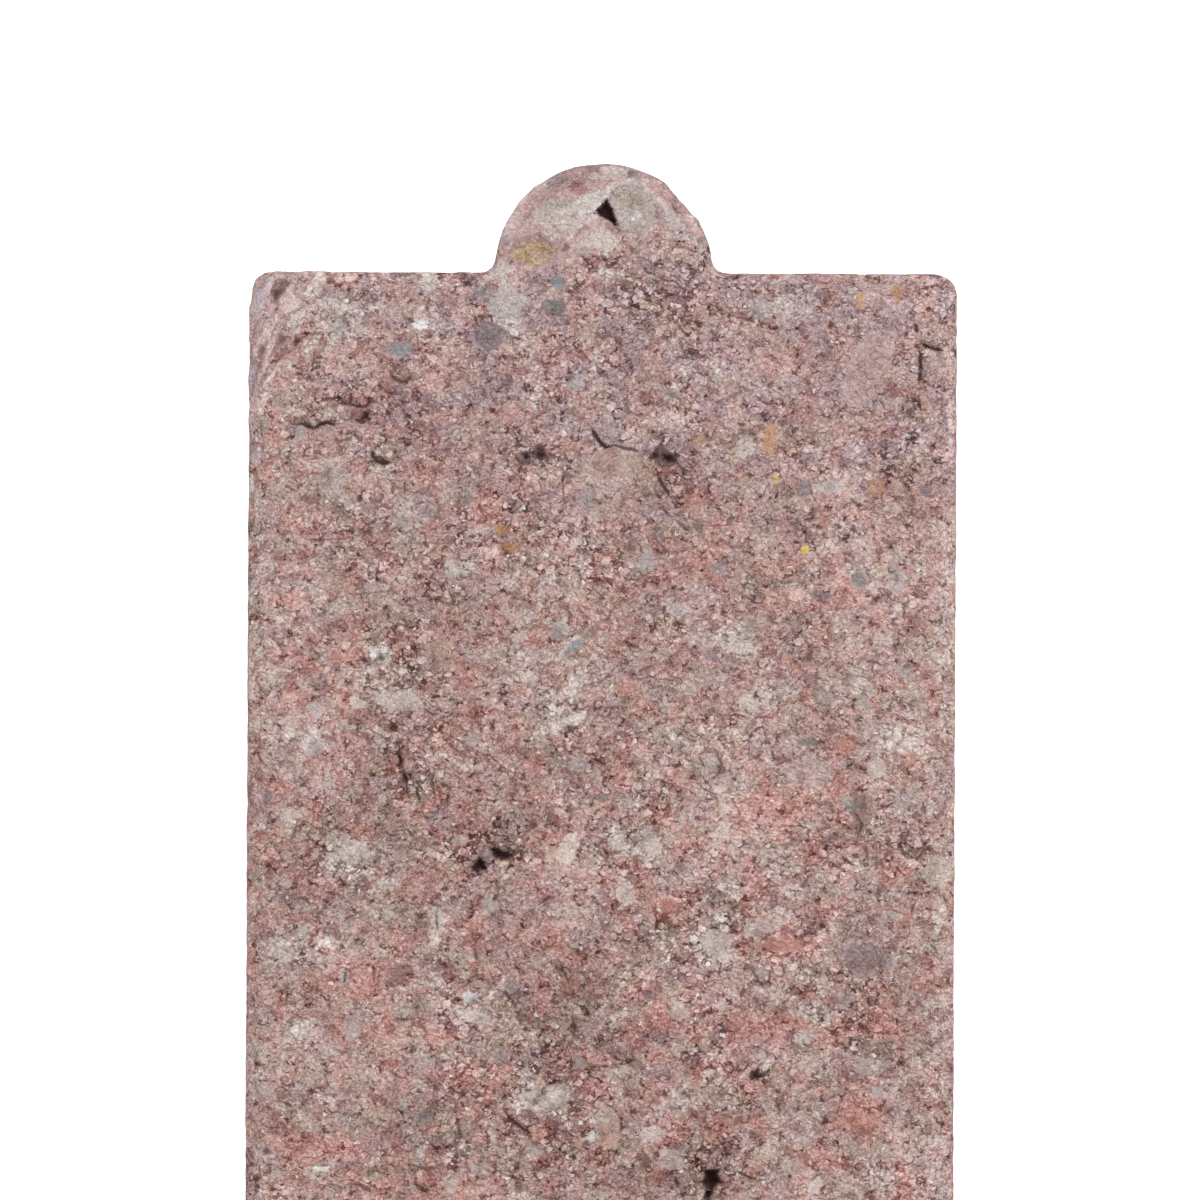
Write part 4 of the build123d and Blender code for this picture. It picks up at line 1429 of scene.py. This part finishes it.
def concrete():
    """Pigmented mortar of crumbs and sand, with lime bloom, small stones, gaps and pores, and painted shade
    in its gaps, pores, pits and cracks.
    """
    material = bpy.data.materials.new("concrete")
    paint = Nodes(material)
    flat = paint.attribute("flat")["Vector"]
    body = paint.node("ShaderNodeTexCoord").outputs["Object"]
    body = paint.vector("MULTIPLY", body, (1 / mm, 1 / mm, 1 / mm))
    crumbly = paint.note("crumbly")
    dark_here = paint.note("dark")
    pressed = paint.note("pressed")
    broken = paint.note("broken")

    turning = {"Vector": flat, "Angle": pattern_turn}
    turned = paint.node("ShaderNodeVectorRotate", turning, rotation_type="Z_AXIS").outputs[0]
    ragged = paint.shift(turned, paint.noise(turned, ragged_size)[1], ragged_size)
    curled = paint.shift(ragged, paint.noise(turned, curl_size)[1], curl_size)
    crumb, outline, lots = crumb_field(paint, ragged, crumb_cell, 0.12, 0.56)
    small_crumb, small_outline, small_lots = crumb_field(paint, ragged, small_crumb_cell, 0.05, 0.50)
    speckle = paint.noise(ragged, speckle_size, 2.0, 0.85)[0]
    texture = paint.noise(curled, mottle_size, 3.0, 0.70)
    mottle = texture[0]
    threads = paint.parts(texture[1])
    hues = paint.parts(paint.noise(curled, hue_size, 2.0, 0.5)[1])
    patches = paint.parts(paint.noise(body, patch_size, 3.0, 0.62, "3D")[1])
    clouds = paint.noise(body, cloud_size, 2.0, 0.6, "3D")[0]
    smear = paint.noise(paint.vector("MULTIPLY", flat, smear_stretch), 1.0, 2.0, 0.6)[0]

    # Mortar, in smooth patches of beige, lilac, red and lime
    beige_here = paint.rise(paint.sum(patches[0], paint.swing(hues[0], 0.9)), 0.40, 0.60)
    lilac_here = paint.rise(paint.sum(patches[1], paint.swing(hues[1], 0.9)), 0.42, 0.62)
    cool = paint.note("cool")
    lilac_here = paint.times(lilac_here, paint.rise(cool, 0.0, 1.0, 0.5, 0.8))
    red_here = paint.larger(paint.rise(patches[2], 0.46, 0.70, 0.0, 0.75), paint.note("red"))
    red_here = paint.sum(red_here, paint.swing(hues[2], 2.4), paint.swing(mottle, 0.3))
    red_here = paint.rise(red_here, 0.05, 1.0)
    red_here = paint.times(red_here, paint.rise(cool, 0.0, 1.0, 0.9, 0.45))
    lime_here = paint.larger(paint.rise(patches[0], 0.55, 0.78, 0.0, 0.75), paint.note("pale"))
    lime_here = paint.sum(lime_here, paint.times(dark_here, -0.3), paint.swing(mottle, 1.8),
                          paint.swing(speckle, 0.3))
    lime_here = paint.rise(lime_here, 0.10, 0.95)
    streak = paint.note("streak")
    lime_here = paint.larger(lime_here, streak)
    beige_here = paint.times(beige_here, paint.rise(cool, 0.0, 1.0, 1.0, 0.7))
    colour = paint.blend(beige_here, mortar, beige_mortar)
    colour = paint.blend(lilac_here, colour, lilac_mortar)
    colour = paint.blend(red_here, colour, red_mortar)
    colour = paint.blend(paint.times(broken, 0.6), colour, fresh_break)
    colour = paint.blend(lime_here, colour, lime)

    # The listed stones and facets, with ragged edges
    inlay = paint.attribute("inlay")
    stone_edge = paint.sum(paint.note("stone"), paint.swing(mottle, 0.4), paint.swing(speckle, 0.4))
    in_stone = paint.times(paint.rise(stone_edge, -0.05, 0.07), inlay["Alpha"])
    colour = paint.blend(in_stone, colour, inlay["Color"])
    tint = paint.blend(cool, white, cool_tint)
    colour = paint.vector("MULTIPLY", colour, tint)

    # Lighter crumbs, each with a painted shadow just outside its outline, and fine mottling
    plain = paint.rise(paint.larger(in_stone, paint.times(broken, 0.75)), 0.0, 0.9, 1.0, 0.22)
    crumbs = paint.sum(paint.times(crumb, paint.sum(paint.swing(lots[1], 1.3), 0.28)),
                       paint.times(small_crumb, paint.sum(paint.swing(small_lots[1], 1.7), 0.34)),
                       paint.times(outline, -0.28), paint.times(small_outline, -0.18),
                       paint.times(paint.times(lime_here, small_crumb), 0.30))
    crumbs = paint.times(crumbs, paint.times(plain, paint.rise(crumbly, 0.0, 1.0, 0.42, 1.2)))
    bright_thread = paint.lines(threads[0], 0.035, 0.005)
    dark_thread = paint.lines(threads[1], 0.025, 0.003)
    mottling = paint.sum(paint.swing(speckle, 3.8), paint.swing(mottle, 2.9),
                         paint.times(bright_thread, 0.50), paint.times(dark_thread, -0.50))
    mottling = paint.times(mottling, paint.rise(plain, 0.3, 1.0, 0.6, 1.0))
    # Painted light and shade: pale streaks lighter on the break's ridges, rills lighter on crests and darker
    # in troughs
    steps = paint.sum(crumbs, mottling, paint.swing(clouds, 1.6), paint.times(streak, 0.6),
                      paint.note("tone"), paint.times(paint.swing(smear, 1.8), pressed),
                      paint.times(dark_here, -0.22), paint.times(paint.note("rills"), 0.9), -0.05)

    # Painted shade, darker and browner, in the gaps between crumbs and in fine curved cracks
    between = paint.less(1.0, paint.larger(crumb, small_crumb))
    gap_here = paint.noise(turned, gap_size, 2.0, 0.7)[0]
    gap_here = paint.sum(gap_here, paint.times(crumbly, 0.09), paint.times(dark_here, 0.03))
    gap_here = paint.rise(gap_here, 0.56, 0.70)
    crevice = paint.rise(paint.sum(paint.note("crevice"), paint.swing(speckle, 1.0)), 0.35, 0.9)
    gap = paint.times(between, paint.larger(gap_here, crevice))
    line = paint.lines(paint.noise(curled, line_size, 1.0)[0], 0.022, 0.004)
    gap = paint.larger(gap, paint.times(line, paint.rise(gap_here, 0.1, 0.8, 0.12, 0.9)))
    steps = paint.sum(steps, paint.times(paint.times(gap, plain), -1.35))
    steps = paint.maths("MINIMUM", steps, 1.5)
    colour = paint.blend(gap, colour, paint.vector("MULTIPLY", colour, gap_shade_tint))
    colour = paint.shade(colour, steps)

    # Sparkling specks, and the painted shade of pits and cracks
    speck = paint.times(small_crumb, paint.rise(small_lots[2], 0.962, 0.966))
    speck = paint.times(speck, paint.rise(speckle, 0.42, 0.56))
    speck = paint.times(speck, paint.less(1.0, in_stone))
    colour = paint.blend(paint.times(speck, 0.8), colour, palette["white"])
    hollow = paint.sum(paint.note("hollow"), paint.swing(speckle, 0.6), paint.swing(mottle, 0.4))
    hollow = paint.times(paint.rise(hollow, -0.04, 0.07), paint.note("hollow_shade"))
    crack = paint.sum(paint.note("crack"), paint.swing(speckle, 0.6), paint.swing(mottle, 0.4))
    crack = paint.times(paint.rise(crack, -0.01, 0.08), paint.note("crack_shade"))
    hollow = paint.larger(hollow, crack)
    colour = paint.blend(hollow, colour, pit_shade_colour)

    # Fine relief
    height = paint.sum(paint.times(crumb, 0.5), paint.times(small_crumb, 0.25), paint.times(speckle, 1.2),
                       paint.times(hollow, -0.5))
    bump = paint.node("ShaderNodeBump", {"Height": height, "Strength": 1.0, "Distance": grain_bump})

    roughness = paint.rise(in_stone, 0.0, 1.0, 0.93, 0.7)
    shader = paint.node("ShaderNodeBsdfPrincipled", {
        "Base Color": colour, "Roughness": roughness, "Specular IOR Level": 0.3, "Normal": bump.outputs[0],
    })
    paint.node("ShaderNodeOutputMaterial", {0: shader.outputs[0]})
    return material


# The studio
floor_reach = 6.0
floor_grey = (0.9, 0.9, 0.9, 1.0)
pure_white = (*white, 1.0)
floor_glow = 0.8
sky_strength = 0.60
lamp_strength = 1.6
lamp_angle = math.radians(40)
lamp_way = Vector((0.55, -0.35, 1.0))


def white_floor():
    """A white floor: it reads as white to the camera and still takes the curb's shadow."""
    material = bpy.data.materials.new("floor")
    paint = Nodes(material)
    camera_ray = paint.node("ShaderNodeLightPath").outputs["Is Camera Ray"]
    lit = paint.node("ShaderNodeBsdfDiffuse", {0: floor_grey})
    glow = paint.node("ShaderNodeEmission", {0: pure_white, 1: paint.times(camera_ray, floor_glow)})
    both = paint.node("ShaderNodeAddShader", {0: lit.outputs[0], 1: glow.outputs[0]})
    paint.node("ShaderNodeOutputMaterial", {0: both.outputs[0]})
    return material


def make_floor():
    mesh = bpy.data.meshes.new("floor")
    corners = [(x * floor_reach, y * floor_reach, 0) for x, y in ((-1, -1), (1, -1), (1, 1), (-1, 1))]
    mesh.from_pydata(corners, [], [(0, 1, 2, 3)])
    floor = bpy.data.objects.new("floor", mesh)
    bpy.context.scene.collection.objects.link(floor)
    floor.data.materials.append(white_floor())


def make_light():
    """An even white sky, and one large soft lamp from beyond the tongue."""
    world = bpy.data.worlds.new("studio")
    bpy.context.scene.world = world
    sky = Nodes(world)
    camera_ray = sky.node("ShaderNodeLightPath").outputs["Is Camera Ray"]
    strength = sky.node("ShaderNodeMapRange", {"Value": camera_ray, "To Min": sky_strength, "To Max": 1.0})
    light = sky.node("ShaderNodeBackground", {"Color": pure_white, "Strength": strength.outputs["Result"]})
    sky.node("ShaderNodeOutputWorld", {0: light.outputs[0]})
    lamp = bpy.data.lights.new("soft_lamp", "SUN")
    lamp.energy = lamp_strength
    lamp.angle = lamp_angle
    soft_lamp = bpy.data.objects.new("soft_lamp", lamp)
    soft_lamp.rotation_euler = lamp_way.to_track_quat("Z", "Y").to_euler()
    bpy.context.scene.collection.objects.link(soft_lamp)


def make_camera():
    """A long lens straight above the tongue end, with the tongue at the top of the picture."""
    data = bpy.data.cameras.new("camera")
    data.lens = lens
    data.sensor_width = sensor
    distance = photo_side * pixel * lens / sensor
    camera = bpy.data.objects.new("camera", data)
    right = Vector((math.sin(roll), -math.cos(roll), 0))
    up = Vector((math.cos(roll), math.sin(roll), 0))
    turned = Matrix((right, up, Vector((0, 0, 1)))).transposed()
    place = Matrix.Translation((view_centre.x, view_centre.y, top_z + distance))
    camera.matrix_world = place @ turned.to_4x4()
    bpy.context.scene.collection.objects.link(camera)
    bpy.context.scene.camera = camera


make_camera()
make_light()
make_floor()

curb = Curb()
dress(curb)
cast_curb = to_mesh(curb, "cast_curb")
cast_curb.data.materials.append(concrete())
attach(cast_curb, "root")
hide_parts("curb")

bpy.context.scene.view_settings.view_transform = "Standard"
